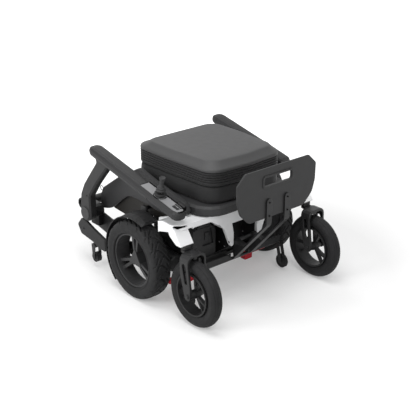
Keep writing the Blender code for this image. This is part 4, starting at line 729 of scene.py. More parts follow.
class ScrewGraph(GeoGraph):
    """Screw heads with a round recess, one on each point, along the point's facing.

    Attributes:
        SIDES: Number of sides of a head.
        STEPS: Rise of the crown, of the recess's mouth and of its floor, each as a share of the
            head's height, and how much each one narrows.
        SEAT: How far a head is lifted out of the face, as a share of its height.
    """

    SIDES = 24
    STEPS = ((0.35, 0.82), (0.02, 0.55), (-0.70, 0.92))
    SEAT = 0.38

    def __init__(self) -> None:
        """Build the group."""
        super().__init__("screws", {"Radius": 0.003, "Height": 0.0018})
        height = self.source["Height"]
        head = self.add("GeometryNodeMeshCylinder", Vertices=self.SIDES, Radius=self.source["Radius"],
                        Depth=height)
        shape, top = head.outputs["Mesh"], head.outputs["Top"]
        for share, scale in self.STEPS:
            shape, top = self.step(shape, top, self.number("MULTIPLY", height, share), scale)
        rise = self.add("ShaderNodeCombineXYZ", Z=self.number("MULTIPLY", height, self.SEAT))
        lifted = self.add("GeometryNodeTransform", Geometry=shape, Translation=rise.outputs["Vector"])
        facing = self.add("GeometryNodeInputNamedAttribute", {"data_type": "FLOAT_VECTOR"}, Name="facing")
        turn = self.add("FunctionNodeAlignRotationToVector", {"axis": "Z"},
                        Vector=facing.outputs["Attribute"])
        placed = self.add("GeometryNodeInstanceOnPoints", Points=self.source["Geometry"],
                          Instance=lifted.outputs["Geometry"], Rotation=turn.outputs["Rotation"])
        self.close(placed.outputs["Instances"])

    def step(self, mesh: Socket, faces: Socket, rise: Socket, scale: float) -> tuple[Socket, Socket]:
        """Pull a face out or push it in, and scale it.

        Args:
            mesh: The mesh.
            faces: Selection of the face.
            rise: How far it moves outwards.
            scale: How its size changes.

        Returns:
            Sockets of the mesh and of the moved face's selection.
        """
        pulled = self.add("GeometryNodeExtrudeMesh", {"mode": "FACES"}, Mesh=mesh, Selection=faces,
                          Offset_Scale=rise)
        sized = self.add("GeometryNodeScaleElements", {"domain": "FACE"}, Geometry=pulled.outputs["Mesh"],
                         Selection=pulled.outputs["Top"], Scale=scale)
        return sized.outputs["Geometry"], pulled.outputs["Top"]

    def scatter(self, name: str, spots: Sequence[tuple[Vector, Vector]], radius: float, height: float,
                finish: Finish, body: str) -> None:
        """Make the screws of one body.

        Args:
            name: Name of the piece.
            spots: Points on a surface, each with the direction that it faces.
            radius: Radius of the heads.
            height: Height of the heads.
            finish: Their finish.
            body: Body that they ride on.
        """
        mesh = bpy.data.meshes.new(name)
        mesh.from_pydata([spot for spot, _ in spots], [], [])
        facing = mesh.attributes.new("facing", "FLOAT_VECTOR", "POINT")
        for row, (_, direction) in zip(facing.data, spots):
            row.vector = direction
        self.run(name, mesh, finish, body, {"Radius": radius, "Height": height})


class SweepGraph(GeoGraph):
    """Round strip along a line.

    Attributes:
        SIDES: Number of sides of the strip's section.
    """

    SIDES = 12

    def __init__(self) -> None:
        """Build the group."""
        super().__init__("sweep", {"Radius": 0.002})
        line = self.add("GeometryNodeMeshToCurve", Mesh=self.source["Geometry"])
        ring = self.add("GeometryNodeCurvePrimitiveCircle", Resolution=self.SIDES,
                        Radius=self.source["Radius"])
        tube = self.add("GeometryNodeCurveToMesh", Curve=line.outputs["Curve"],
                        Profile_Curve=ring.outputs["Curve"], Fill_Caps=True)
        self.close(tube.outputs["Mesh"])

    def follow(self, name: str, path: Ring, closed: bool, radius: float, finish: Finish,
               body: str) -> bpy.types.Object:
        """Make a strip.

        Args:
            name: Name of the piece.
            path: Points of the line.
            closed: Whether the line closes on itself.
            radius: Radius of the strip.
            finish: Its finish.
            body: Body that it rides on.

        Returns:
            The strip.
        """
        edges = [(index, index + 1) for index in range(len(path) - 1)]
        if closed:
            edges.append((len(path) - 1, 0))
        mesh = bpy.data.meshes.new(name)
        mesh.from_pydata(path, edges, [])
        return self.run(name, mesh, finish, body, {"Radius": radius})


@cache
def surface(node: str) -> BVHTree:
    """Return a tree of a CAD node's faces."""
    mesh = frame["nodes"][node].data
    corners = [vertex.co for vertex in mesh.vertices]
    return BVHTree.FromPolygons(corners, [tuple(face.vertices) for face in mesh.polygons])


def touch(node: str, start: Sequence[float], direction: Sequence[float]) -> tuple[Vector, Vector]:
    """Find where a line first meets a CAD node.

    Args:
        node: Name of the CAD node.
        start: Point outside it.
        direction: Direction of the line.

    Returns:
        The point on its face and the face's normal.
    """
    spot, normal, _, _ = surface(node).ray_cast(Vector(start), Vector(direction))
    if spot is None:
        raise ValueError(f"no face of {node} from {tuple(start)}")
    return spot, normal


def smooth_path(points: Sequence[Sequence[float]], steps: int = 6) -> Ring:
    """Run a smooth open line through points.

    Args:
        points: The points.
        steps: Steps between two points.

    Returns:
        The line's points.
    """
    spots = [Vector(point) for point in points]
    spots = [spots[0], *spots, spots[-1]]
    path = []
    for before, start, end, after in zip(spots, spots[1:], spots[2:], spots[3:]):
        for step in range(steps):
            share = step / steps
            path.append(0.5 * (2 * start + (end - before) * share
                               + (2 * before - 5 * start + 4 * end - after) * share ** 2
                               + (3 * start - before - 3 * end + after) * share ** 3))
    path.append(spots[-1])
    return path


@dataclass(frozen=True)
class Block:
    """Size and finish of a rectangular block that stands on a plane.

    Attributes:
        name: Name of the piece.
        across: Its ends along the plane's first coordinate.
        along: Its ends along the second one.
        corner: Radius of its corners.
        low: Height of its foot over the plane.
        high: Height of its top.
        chamfer: Width of its softened top edge.
        finish: Its finish.
    """

    name: str
    across: Pair
    along: Pair
    corner: float
    low: float
    high: float
    chamfer: float
    finish: Finish


@dataclass(frozen=True)
class Plane:
    """A flat place that small pieces stand on.

    Attributes:
        origin: Point with the coordinates 0, 0.
        across: Direction of the first coordinate.
        along: Direction of the second coordinate.
        CORNER_STEPS: Steps in each rounded corner of a block.
        TURN: Where the softened edge of a block bends, as a share of its width.
        MOST_INSET: How far a point may be drawn in towards the block's middle, as a share of the way.
        LEAST_REACH: Smallest length of that way, so that nothing is divided by 0.
    """

    origin: Sequence[float]
    across: Triple
    along: Triple

    CORNER_STEPS: ClassVar[int] = 5
    TURN: ClassVar[float] = 0.3
    MOST_INSET: ClassVar[float] = 0.9
    LEAST_REACH: ClassVar[float] = 1e-6

    @property
    def up(self) -> Vector:
        """Direction that the plane faces."""
        return Vector(self.across).cross(Vector(self.along)).normalized()

    def at(self, across: float, along: float, rise: float = 0.0) -> Vector:
        """Return a point over the plane.

        Args:
            across: First coordinate.
            along: Second coordinate.
            rise: Height over the plane.

        Returns:
            The point.
        """
        flat = Vector(self.across) * across + Vector(self.along) * along
        return Vector(self.origin) + flat + self.up * rise

    def circle(self, across: float, along: float, rise: float, radius: float, steps: int) -> Ring:
        """Return a circle over the plane.

        Args:
            across: First coordinate of its middle.
            along: Second coordinate of its middle.
            rise: Height over the plane.
            radius: Its radius.
            steps: Number of points.

        Returns:
            The points.
        """
        angles = [2 * math.pi * step / steps for step in range(steps)]
        return [self.at(across + radius * math.cos(angle), along + radius * math.sin(angle), rise)
                for angle in angles]

    def stand(self, block: Block, body: str) -> None:
        """Stand a block with rounded corners and a softened top edge on the plane.

        Args:
            block: The block.
            body: Body that it rides on.
        """
        corners = [(across, along, block.corner) for across, along in (
            (block.across[0], block.along[0]), (block.across[1], block.along[0]),
            (block.across[1], block.along[1]), (block.across[0], block.along[1]))]
        spots = [Vector(spot) for spot in fillet(corners, self.CORNER_STEPS)]
        middle = sum(spots, Vector((0.0, 0.0))) / len(spots)
        turn = block.chamfer * self.TURN
        levels = ((block.low, 0.0), (block.high - block.chamfer, 0.0), (block.high - turn, turn),
                  (block.high, block.chamfer))
        rings = []
        for rise, inset in levels:
            ring = []
            for spot in spots:
                inward = middle - spot
                share = min(inset / max(inward.length, self.LEAST_REACH), self.MOST_INSET)
                ring.append(self.at(*(spot + inward * share), rise))
            rings.append(ring)
        piece = Mesher.publish(block.name, Mesher.skin(rings), block.finish, sharp=50.0)
        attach(piece, body)
        log.info("%s: %d faces", block.name, len(piece.data.polygons))


@dataclass(frozen=True)
class Outline:
    """Bowed and tapered outline of the cushions and the shell, seen from above.

    Attributes:
        half: Half of the width.
        front: Front edge in y.
        rear: Rear edge in y.
        taper: How much narrower the front is on each side.
        rear_taper: How much narrower the rear is on each side.
        bow: How far the front edge bows forwards.
        corner: Corner radius.
        least_corner: Smallest corner radius, on a line far inside the outline.
        rear_corner: Rear corner radius as a share of the front one.
        bow_radius: Radius of the bowed front and sides.
        steps: Steps in each rounded corner.
    """

    half: float
    front: float
    rear: float
    taper: float = 0.014
    rear_taper: float = 0.002
    bow: float = 0.014
    corner: float = 0.062
    least_corner: float = 0.02
    rear_corner: float = 0.9
    bow_radius: float = 0.20
    steps: int = 12

    @classmethod
    def around(cls, node: str) -> "Outline":
        """Return the outline that fits a node's box."""
        low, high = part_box(node)
        return cls(high.x, low.y, high.y)

    def ring(self, height: float, side: float, front: float, rear: float) -> Ring:
        """Return the outline drawn in by insets, as points in space.

        Args:
            height: Height of the points.
            side: Inset of the sides.
            front: Inset of the front edge.
            rear: Inset of the rear edge.

        Returns:
            The points, all the way round.
        """
        radius = max(self.corner - side / 2, self.least_corner)
        half = self.half - side
        front_y, rear_y = self.front + front, self.rear - rear
        left = [(-half + self.rear_taper, rear_y, radius * self.rear_corner), (-half, 0.0, self.bow_radius),
                (-half + self.taper, front_y + self.bow, radius)]
        corners = left + [(0.0, front_y, self.bow_radius)] + [(-x, y, r) for x, y, r in reversed(left)]
        return [Vector((x, y, height)) for x, y in fillet(corners, self.steps)]


@dataclass(frozen=True)
class Seat:
    """Seat cushion, inflated by a cloth simulation of its CAD solid.

    Attributes:
        voxel: Size of the remeshed faces in metres.
        pressure: Pressure of the simulation.
        quality: Steps of the simulation in each frame.
        frames: Last frame of the simulation.
        foot: Height of the zone at the bottom that is held.
        crown: Height of the zone at the top that is held.
        bulge: How far a point may move sideways.
        smoothing: Share of each smoothing.
        rounds: Number of smoothings.
    """

    voxel: float = 0.005
    pressure: float = 4.0
    quality: int = 5
    frames: int = 20
    foot: float = 0.006
    crown: float = 0.002
    bulge: float = 0.0045
    smoothing: float = 0.5
    rounds: int = 4

    def build(self) -> bpy.types.Object:
        """Make the cushion.

        Returns:
            The cushion's object, not yet riding on anything.
        """
        low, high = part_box("seat_cushion")
        pad = place("seat_pad", frame["nodes"]["seat_cushion"].data.copy())
        remesh = pad.modifiers.new("remesh", "REMESH")
        remesh.mode = "VOXEL"
        remesh.voxel_size = self.voxel
        pad.data = bake(pad)
        start = [vertex.co.copy() for vertex in pad.data.vertices]
        self.inflate(pad, low, high)
        for vertex, origin in zip(pad.data.vertices, start):
            shift = vertex.co - origin
            shift.z = 0.0
            if shift.length > self.bulge:
                shift *= self.bulge / shift.length
            vertex.co = origin + shift
            vertex.co.z = min(max(vertex.co.z, low.z), high.z)
        smooth = pad.modifiers.new("smooth", "SMOOTH")
        smooth.factor = self.smoothing
        smooth.iterations = self.rounds
        fine = pad.modifiers.new("fine", "SUBSURF")
        fine.levels = fine.render_levels = 1
        pad.data = bake(pad)
        pad.data.materials.clear()
        pad.data.materials.append(FABRIC.material())
        pad.data.shade_smooth()
        return pad

    def inflate(self, pad: bpy.types.Object, low: Vector, high: Vector) -> None:
        """Run the cloth simulation and keep its result.

        Args:
            pad: The remeshed cushion.
            low: Lowest corner of the CAD solid.
            high: Highest corner of the CAD solid.
        """
        held = pad.vertex_groups.new(name="held")
        for vertex in pad.data.vertices:
            if vertex.co.z < low.z + self.foot or vertex.co.z > high.z - self.crown:
                held.add([vertex.index], 1.0, "REPLACE")
        settings = pad.modifiers.new("cloth", "CLOTH").settings
        settings.quality = self.quality
        settings.use_pressure = True
        settings.uniform_pressure_force = self.pressure
        settings.vertex_group_mass = "held"
        settings.effector_weights.gravity = 0.0
        scene = bpy.context.scene
        for number in range(1, self.frames + 1):
            scene.frame_set(number)
        pad.data = bake(pad)
        scene.frame_set(1)

    def dress(self) -> None:
        """Build the cushion and put it in the CAD solid's place."""
        pad = self.build()
        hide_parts("seat_cushion")
        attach(pad, body_of("seat_cushion"))
        log.info("seat pad: %d vertices", len(pad.data.vertices))


@dataclass(frozen=True)
class Backrest:
    """Folded backrest: a ribbed cushion band under a bevelled shell.

    Attributes:
        bead: Height of the plain roll under the ribs.
        tuck: How far the roll's lower edge is drawn in.
        ribs: Number of ribs.
        rib_depth: Depth of the grooves between them.
        steps: Steps of the band's height.
        side: Width of the bevel at the sides.
        front: Width of the bevel at the front.
        rear: Width of the bevel at the rear.
        LIP: Inset of the shell's upright lip at shares of the shell's height.
        BEVEL: Inset of the bevel and the crown behind it, in bevel widths, at shares of that height.
    """

    bead: float = 0.015
    tuck: float = 0.0065
    ribs: int = 4
    rib_depth: float = 0.0038
    steps: int = 88
    side: float = 0.023
    front: float = 0.029
    rear: float = 0.046

    LIP: ClassVar[tuple[Pair, ...]] = (
        (0.0030, 0.0), (0.0008, 0.025), (0.0, 0.07), (0.0, 0.20), (0.0006, 0.28), (0.0020, 0.34))
    BEVEL: ClassVar[tuple[Pair, ...]] = (
        (0.13, 0.375), (0.30, 0.46), (0.50, 0.575), (0.70, 0.70), (0.86, 0.825), (0.94, 0.885),
        (1.00, 0.918), (1.10, 0.945), (1.35, 0.962), (1.8, 0.975), (2.4, 0.985), (3.2, 0.994), (4.4, 1.0))

    def inset(self, rise: float, pitch: float) -> float:
        """Return how far the band is drawn in at a height.

        Args:
            rise: Height over the band's foot.
            pitch: Height of a rib.

        Returns:
            The inset in metres.
        """
        if rise >= self.bead:
            return self.rib_depth * math.cos(math.pi * (rise - self.bead) / pitch) ** 4
        across = 2 * rise / self.bead - 1
        return self.tuck * across ** 4 if across < 0 else self.rib_depth * across ** 6

    def band(self) -> bpy.types.Object:
        """Make the ribbed band.

        Returns:
            The band's object.
        """
        low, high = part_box("backrest_cushion")
        outline = Outline.around("backrest_cushion")
        height = high.z - low.z
        pitch = (height - self.bead) / self.ribs
        rings = []
        for step in range(self.steps + 1):
            rise = height * step / self.steps
            inset = self.inset(rise, pitch)
            rings.append(outline.ring(low.z + rise, inset, inset, inset))
        return Mesher.publish("back_band", Mesher.skin(rings), FABRIC, sharp=60.0)

    def shell(self) -> bpy.types.Object:
        """Make the bevelled shell.

        Returns:
            The shell's object.
        """
        low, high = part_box("backrest_shell")
        outline = Outline.around("backrest_shell")
        rise = high.z - low.z
        rings = [outline.ring(low.z + rise * level, inset, inset, inset) for inset, level in self.LIP]
        for share, level in self.BEVEL:
            beyond = max(share - 1.0, 0.0)
            rear = self.rear * min(share, 1.0) + self.front * beyond
            rings.append(outline.ring(low.z + rise * level, self.side * share, self.front * share, rear))
        return Mesher.publish("back_shell", Mesher.skin(rings), SHELL, sharp=60.0)

    def dress(self) -> None:
        """Build both pieces and put them in the CAD solids' places."""
        band = self.band()
        for piece, node in ((band, "backrest_cushion"), (self.shell(), "backrest_shell")):
            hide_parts(node)
            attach(piece, body_of(node))
        log.info("backrest: %d ribs", self.ribs)


@dataclass(frozen=True)
class Tyre(ABC):
    """A tyre that takes the place of its CAD solid.

    Attributes:
        side: Side of the chair.
        WHEEL: First word of the node's and the piece's name.
    """

    side: Side

    WHEEL: ClassVar[str]

    @abstractmethod
    def sections(self, outer: float, half: float) -> list[list[Pair]]:
        """Return the tyre's section at each step around the wheel.

        Args:
            outer: Radius of the tyre.
            half: Half of its width.

        Returns:
            Sections, as points of radius and distance from the wheel's middle plane.
        """

    def dress(self) -> None:
        """Build the tyre and put it in the CAD solid's place."""
        node = f"{self.WHEEL}_tyre_{self.side.word}"
        low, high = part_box(node)
        centre = (low + high) / 2
        sections = self.sections((high.z - low.z) / 2, (high.x - low.x) / 2)
        rings = []
        for step, section in enumerate(sections):
            angle = 2 * math.pi * step / len(sections)
            around = (math.cos(angle), math.sin(angle))
            rings.append([centre + Vector((across, radius * around[0], radius * around[1]))
                          for radius, across in section])
        name = f"{self.WHEEL}_tread_{self.side.word}"
        piece = Mesher.publish(name, Mesher.skin(rings, closed=True), TYRE, sharp=50.0)
        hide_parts(node)
        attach(piece, body_of(node))
        log.info("%s: %d faces", piece.name, len(piece.data.polygons))


@dataclass(frozen=True)
class DriveTyre(Tyre):
    """Drive tyre with long slanted grooves, short dashes and cross cuts.

    Attributes:
        pitches: Number of long grooves around each half of the tread.
        depth: Depth of the grooves.
        groove: Width of a groove's slanted side.
        mouth: Half of a groove's width at the tread's face, in such widths.
        steps: Steps along the tread for each pitch.
        columns: Steps across the tread.
        wall: Height of the sidewall and the tread over the bead.
        shoulder: How much narrower the tread is than the tyre, on each side.
        crown: How much lower the tread is at its shoulders.
        reach: How far below the tyre's top a groove may still cut.
        WALL: Sidewall as heights over the bead and insets from the tyre's side.
        SHOULDER: The wall's upper part, as depths under the tyre's top and insets.
        CUTS: Middle lines of the cuts of one pitch, each from one pair of across and along to
            another. Across is 0 in the middle of the tread and 1 at its shoulder, along is in pitches.
    """

    pitches: int = 17
    depth: float = 0.0045
    groove: float = 0.0023
    mouth: float = 1.5
    steps: int = 34
    columns: int = 52
    wall: float = 0.0475
    shoulder: float = 0.0040
    crown: float = 0.0055
    reach: float = 0.0095

    WHEEL: ClassVar[str] = "drive"
    WALL: ClassVar[tuple[Pair, ...]] = (
        (0.0, 0.0045), (0.0015, 0.0020), (0.0050, 0.0010), (0.0070, 0.0024), (0.0120, 0.0016),
        (0.0220, 0.0))
    SHOULDER: ClassVar[tuple[Pair, ...]] = ((0.0180, 0.0002), (0.0130, 0.0008), (0.0090, 0.0024))
    CUTS: ClassVar[tuple[tuple[Pair, Pair], ...]] = (
        ((-0.18, 0.00), (0.30, 0.32)), ((0.30, 0.32), (0.80, 0.86)), ((-0.18, 0.00), (-0.62, 0.10)),
        ((0.46, 0.02), (0.74, 0.34)), ((0.90, 0.50), (1.10, 0.62)))

    def cut_depth(self, along: float, across: float, half: float, length: float) -> float:
        """Return how deep the tread is cut at one place.

        Args:
            along: Distance along the tread.
            across: Distance from the tread's middle.
            half: Half of the tread's width.
            length: Length of the tread.

        Returns:
            The depth in metres.
        """
        pitch = length / self.pitches
        near = pitch
        for hand in (1, -1):
            spot = Vector((hand * across, (along + (hand - 1) * pitch / 4) % pitch))
            for first, last in self.CUTS:
                start = Vector((first[0] * half, first[1] * pitch))
                line = Vector((last[0] * half, last[1] * pitch)) - start
                for turn in (-pitch, 0.0, pitch):
                    away = spot + Vector((0.0, turn)) - start
                    share = min(max(away.dot(line) / line.length_squared, 0.0), 1.0)
                    near = min(near, (away - line * share).length)
        share = min(max((self.groove * self.mouth - near) / self.groove, 0.0), 1.0)
        return self.depth * share * share * (3 - 2 * share)

    def sections(self, outer: float, half: float) -> list[list[Pair]]:
        """Return the tyre's section at each step around the wheel.

        Args:
            outer: Radius of the tyre.
            half: Half of its width.

        Returns:
            Sections, as points of radius and distance from the wheel's middle plane.
        """
        wall = [(outer - self.wall + rise, half - inset) for rise, inset in self.WALL]
        wall += [(outer - drop, half - inset) for drop, inset in self.SHOULDER]
        tread_half = half - self.shoulder
        shares = [1 - 2 * column / self.columns for column in range(self.columns + 1)]
        tread = [(outer - self.crown * share ** 4, tread_half * share) for share in shares]
        plain = wall + tread + [(radius, -across) for radius, across in reversed(wall)]
        length = 2 * math.pi * outer
        count = self.pitches * self.steps
        sections = []
        for step in range(count):
            along = length * step / count
            sections.append([
                (radius - self.cut_depth(along, across, tread_half, length), across)
                if radius > outer - self.reach else (radius, across) for radius, across in plain])
        return sections


@dataclass(frozen=True)
class CasterTyre(Tyre):
    """Caster tyre with grooves around its tread and a ring on its sidewall.

    Attributes:
        grooves: Number of grooves.
        depth: Depth of a groove.
        steps: Steps around the wheel.
        columns: Steps around the section.
        wall: Height of the tyre over its bead.
        bulge: Height of the round part, as a share of that.
        turn: Angle of the round part on each side of the top, in degrees.
        tread: Half of the grooved part's width, as a share of the tyre's half width.
        ring: Where the sidewall's ring starts and ends, as shares of it.
        ring_width: Width of the tyre there, as a share.
        BEAD: Lower part of the wall, as heights over the bead and shares of the half width.
    """

    grooves: int = 5
    depth: float = 0.0016
    steps: int = 144
    columns: int = 96
    wall: float = 0.045
    bulge: float = 0.55
    turn: float = 79.0
    tread: float = 0.74
    ring: Pair = (0.90, 0.93)
    ring_width: float = 0.985

    WHEEL: ClassVar[str] = "caster"
    BEAD: ClassVar[tuple[Pair, ...]] = ((0.0, 0.62), (0.004, 0.72), (0.007, 0.80))

    def sections(self, outer: float, half: float) -> list[list[Pair]]:
        """Return the tyre's section at each step around the wheel.

        Args:
            outer: Radius of the tyre.
            half: Half of its width.

        Returns:
            Sections, as points of radius and distance from the wheel's middle plane.
        """
        edge = [(outer - self.wall + rise, half * share) for rise, share in self.BEAD]
        bulge = self.wall * self.bulge
        section = []
        for column in range(self.columns + 1):
            angle = math.radians(90 + self.turn * (2 * column / self.columns - 1))
            share = math.cos(angle)
            radius = outer - bulge + bulge * math.sin(angle)
            if abs(share) < self.tread:
                phase = share / self.tread * self.grooves / 2
                radius -= self.depth * max(0.0, math.cos(2 * math.pi * phase)) ** 8
            elif self.ring[0] < abs(share) < self.ring[1]:
                share *= self.ring_width
            section.append((radius, half * share))
        section = edge + section + [(radius, -across) for radius, across in reversed(edge)]
        return [section] * self.steps


@dataclass(frozen=True)
class ControlEnd:
    """Small parts on the end of the arm that carries the joystick.

    Attributes:
        slope: Slope of the panel in radians.
        low_end: Point near the panel's lower end, in x and y, where its height is found.
        collar: Radius of the black ring of painted shade round the joystick's boot.
        wire: Radius of that ring's section.
        steps: Number of that ring's points.
        proud: How far its middle lies over the panel, and the slit's middle under it.
        stick: Point where the joystick's axis crosses the panel, in x and y.
        slit: Half width of the black strip of painted shade in the slit at the panel's front.
        screw: Point on the module's outer side, in y and z.
        KEYS: Keys of the panel. Their lengths are in the chair's x and y.
        SLIT: Points of the slit in x and y.
        TRIM: Side lug, a black rim of painted shade in the gap round it and a black strip of painted shade
            along the panel's edge.
    """

    slope: float = math.radians(12.5)
    low_end: Pair = (-0.322, -0.186)
    collar: float = 0.0240
    wire: float = 0.0010
    steps: int = 48
    proud: float = 0.0002
    stick: Pair = (-0.308, -0.1229)
    slit: float = 0.0016
    screw: Pair = (-0.0792, 0.4198)

    KEYS: ClassVar[tuple[Block, ...]] = (
        Block("fixed_key", (-0.3145, -0.3033), (-0.2119, -0.2058), 0.0008, -0.0006, 0.0009, 0.0003, SOFT),
        Block("charge_bar", (-0.2985, -0.2915), (-0.2250, -0.1900), 0.0016, -0.0006, 0.0006, 0.0002, SOFT))
    SLIT: ClassVar[tuple[Pair, ...]] = (
        (-0.3205, -0.2350), (-0.3160, -0.2378), (-0.3065, -0.2390), (-0.2975, -0.2378), (-0.2932, -0.2350))
    TRIM: ClassVar[tuple[Block, ...]] = (
        Block("side_lug", (-0.2845, -0.2710), (-0.2215, -0.1865), 0.0050, -0.0125, 0.0006, 0.0018, ARM),
        # Painted shade: a black rim in the gap round the lug and a black strip along the panel's edge.
        Block("side_lug_rim", (-0.2885, -0.2690), (-0.2240, -0.1840), 0.0060, -0.0135, -0.0006, 0.0006,
              BLACK_AND_GAP_SHADE),
        Block("trim_strip", (-0.2886, -0.2838), (-0.2330, -0.0340), 0.0020, -0.0045, 0.0010, 0.0004, BLACK_AND_GAP_SHADE))

    def dress(self, sweep: SweepGraph, screws: ScrewGraph) -> None:
        """Build the keys, black strips of painted shade in the slit and round the boot, the side lug with a
        black rim of painted shade round it, a black strip of painted shade along the panel's edge, and the
        screw.

        Args:
            sweep: Group for strips.
            screws: Group for screws.
        """
        body = body_of("joystick_panel")
        spot, _ = touch("joystick_panel", (*self.low_end, OUTSIDE), DOWNWARD)
        panel = Plane((0.0, spot.y, spot.z), ACROSS, (0.0, math.cos(self.slope), math.sin(self.slope)))

        def reach(y: float) -> float:
            """Return the distance up the slope at a y."""
            return (y - spot.y) / math.cos(self.slope)

        def stand_all(blocks: Sequence[Block]) -> None:
            """Stand blocks on the panel."""
            for block in blocks:
                panel.stand(replace(block, along=tuple(reach(y) for y in block.along)), body)

        stand_all(self.KEYS)
        # Painted shade: black strips lie in the slit and round the boot's hole.
        slit = smooth_path([panel.at(x, reach(y), -self.proud) for x, y in self.SLIT])
        sweep.follow("panel_slit", slit, False, self.slit, BLACK_AND_GAP_SHADE, body)
        ring = panel.circle(self.stick[0], reach(self.stick[1]), self.proud, self.collar, self.steps)
        sweep.follow("boot_collar", ring, True, self.wire, BLACK_AND_GAP_SHADE, body)
        stand_all(self.TRIM)
        screw = touch("joystick_module", (-OUTSIDE, *self.screw), ACROSS)
        screws.scatter("module_screws", [screw], radius=0.0022, height=0.0012, finish=COAT, body=body)
        log.info("control end: slope %.1f degrees", math.degrees(self.slope))


@dataclass(frozen=True)
class Port:
    """Socket of a battery's front, with two pins.

    Attributes:
        side: Side of the chair.
        middle: Distance of the port from the chair's middle.
        height: Height of the port.
        half: Half of the socket's width.
        rise: Half of its height.
        pin: Half of a pin's width.
        apart: Distance of a pin from the socket's middle.
    """

    side: Side
    middle: float = 0.146
    height: float = 0.258
    half: float = 0.012
    rise: float = 0.015
    pin: float = 0.0019
    apart: float = 0.005

    def dress(self) -> None:
        """Build the socket and its pins."""
        word = self.side.word
        body = body_of("battery_" + word)
        spot, _ = touch("battery_" + word, (self.side.value * self.middle, -OUTSIDE, self.height), REARWARD)
        front = Plane(spot, ACROSS, UPWARD)
        front.stand(Block("port_" + word, (-self.half, self.half), (-self.rise, self.rise), corner=0.003,
                          low=-0.0005, high=0.0028, chamfer=0.0006, finish=BLACK), body)
        for number, middle in enumerate((-self.apart, self.apart)):
            across = (middle - self.pin, middle + self.pin)
            front.stand(Block(f"port_pin_{word}_{number}", across, (-self.pin, self.pin), corner=0.00189,
                              low=0.0018, high=0.0046, chamfer=0.0004, finish=COAT), body)
        log.info("port of the %s battery", word)


@dataclass(frozen=True)
class WingRim:
    """Rounded rim along the lower edge of a seat wing.

    Attributes:
        side: Side of the chair.
        outer: Distance of the rim from the chair's middle.
        radius: Radius of the rim.
        EDGE: Points of the wing's lower edge in y and z.
    """

    side: Side
    outer: float = 0.2345
    radius: float = 0.0046

    EDGE: ClassVar[tuple[Pair, ...]] = (
        (0.349, 0.231), (0.302, 0.243), (0.262, 0.263), (0.200, 0.312), (0.150, 0.338), (0.050, 0.337),
        (-0.030, 0.331), (-0.100, 0.345), (-0.190, 0.372))

    def dress(self, sweep: SweepGraph) -> None:
        """Build the rim.

        Args:
            sweep: Group for strips.
        """
        path = smooth_path([(self.side.value * self.outer, y, z) for y, z in self.EDGE])
        sweep.follow("wing_rim_" + self.side.word, path, False, self.radius, PAN, body_of("seat_pan"))


@dataclass(frozen=True)
class RimRing:
    """Raised ring on the outer face of a drive rim.

    Attributes:
        side: Side of the chair.
        reach: Radius of the ring.
        radius: Radius of its section.
        sunk: How far its middle lies inside the rim's face, as a share of that.
        steps: Number of its points.
    """

    side: Side
    reach: float = 0.1022
    radius: float = 0.0016
    sunk: float = 0.4
    steps: int = 96

    def dress(self, sweep: SweepGraph) -> None:
        """Build the ring.

        Args:
            sweep: Group for strips.
        """
        word, hand = self.side.word, self.side.value
        middle = centre_of("drive_tyre_" + word)
        start = (hand * OUTSIDE, middle.y, middle.z + self.reach)
        face, _ = touch("drive_rim_" + word, start, (-hand, 0.0, 0.0))
        plane = Plane((face.x, middle.y, middle.z), REARWARD, UPWARD)
        ring = plane.circle(0.0, 0.0, -hand * self.radius * self.sunk, self.reach, self.steps)
        sweep.follow("rim_ring_" + word, ring, True, self.radius, GREY, body_of("drive_rim_" + word))


@dataclass(frozen=True)
class ReleaseRing:
    """Pull ring on the right wing, seated closer to the wing than the CAD one.

    Attributes:
        reach: Radius of the ring.
        radius: Radius of the wire.
        gap: Distance between the ring's and the CAD ring's middle planes.
        steps: Number of its points.
    """

    reach: float = 0.0090
    radius: float = 0.0013
    gap: float = 0.0004
    steps: int = 40

    def dress(self, sweep: SweepGraph) -> None:
        """Build the ring and put it in the CAD solid's place.

        Args:
            sweep: Group for strips.
        """
        plane = Plane(centre_of("release_ring"), REARWARD, UPWARD)
        ring = plane.circle(0.0, 0.0, self.gap, self.reach, self.steps)
        piece = sweep.follow("pull_ring", ring, True, self.radius, COAT, body_of("release_ring"))
        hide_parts("release_ring")


@dataclass(frozen=True)
class SlotInlay:
    """Black block of painted shade in the slot at the top of a caster leg.

    Attributes:
        side: Side of the chair.
        middle: Distance of the slot from the chair's middle.
        height: Height of the slot.
        below: How far under the slot the leg's face is found.
        half: Half of the block's length.
        thin: Half of its height.
        rear: Its rear end in y.
        sunk: How far its face lies behind the leg's face.
    """

    side: Side
    middle: float = 0.302
    height: float = 0.351
    below: float = 0.008
    half: float = 0.0186
    thin: float = 0.0042
    rear: float = -0.207
    sunk: float = 0.0015

    def dress(self) -> None:
        """Build the black block of painted shade."""
        across = self.side.value * self.middle
        face, _ = touch("front_frame", (across, -OUTSIDE, self.height - self.below), REARWARD)
        back = Plane((across, self.rear, self.height), ACROSS, UPWARD)
        # Painted shade: a black block fills the slot, where shade falls.
        back.stand(Block("slot_" + self.side.word, (-self.half, self.half), (-self.thin, self.thin),
                         corner=self.thin * 0.95, low=0.0, high=self.rear - face.y - self.sunk,
                         chamfer=0.0004, finish=BLACK_AND_GAP_SHADE), body_of("front_frame"))
        log.info("slot shade: face at %.4f", face.y)


@dataclass(frozen=True)
class Screws:
    """Equal screws that face sideways on one CAD node.

    Attributes:
        name: Name of the piece, without the side.
        node: CAD node that holds them, with {side} for the side's word.
        spots: Their places in y and z.
        start: Distance from the chair's middle where the search for the face starts.
        inward: Whether the search goes towards the chair's middle.
        radius: Radius of the heads.
        height: Height of the heads.
        finish: Their finish.
    """

    name: str
    node: str
    spots: tuple[Pair, ...]
    start: float
    inward: bool
    radius: float
    height: float
    finish: Finish


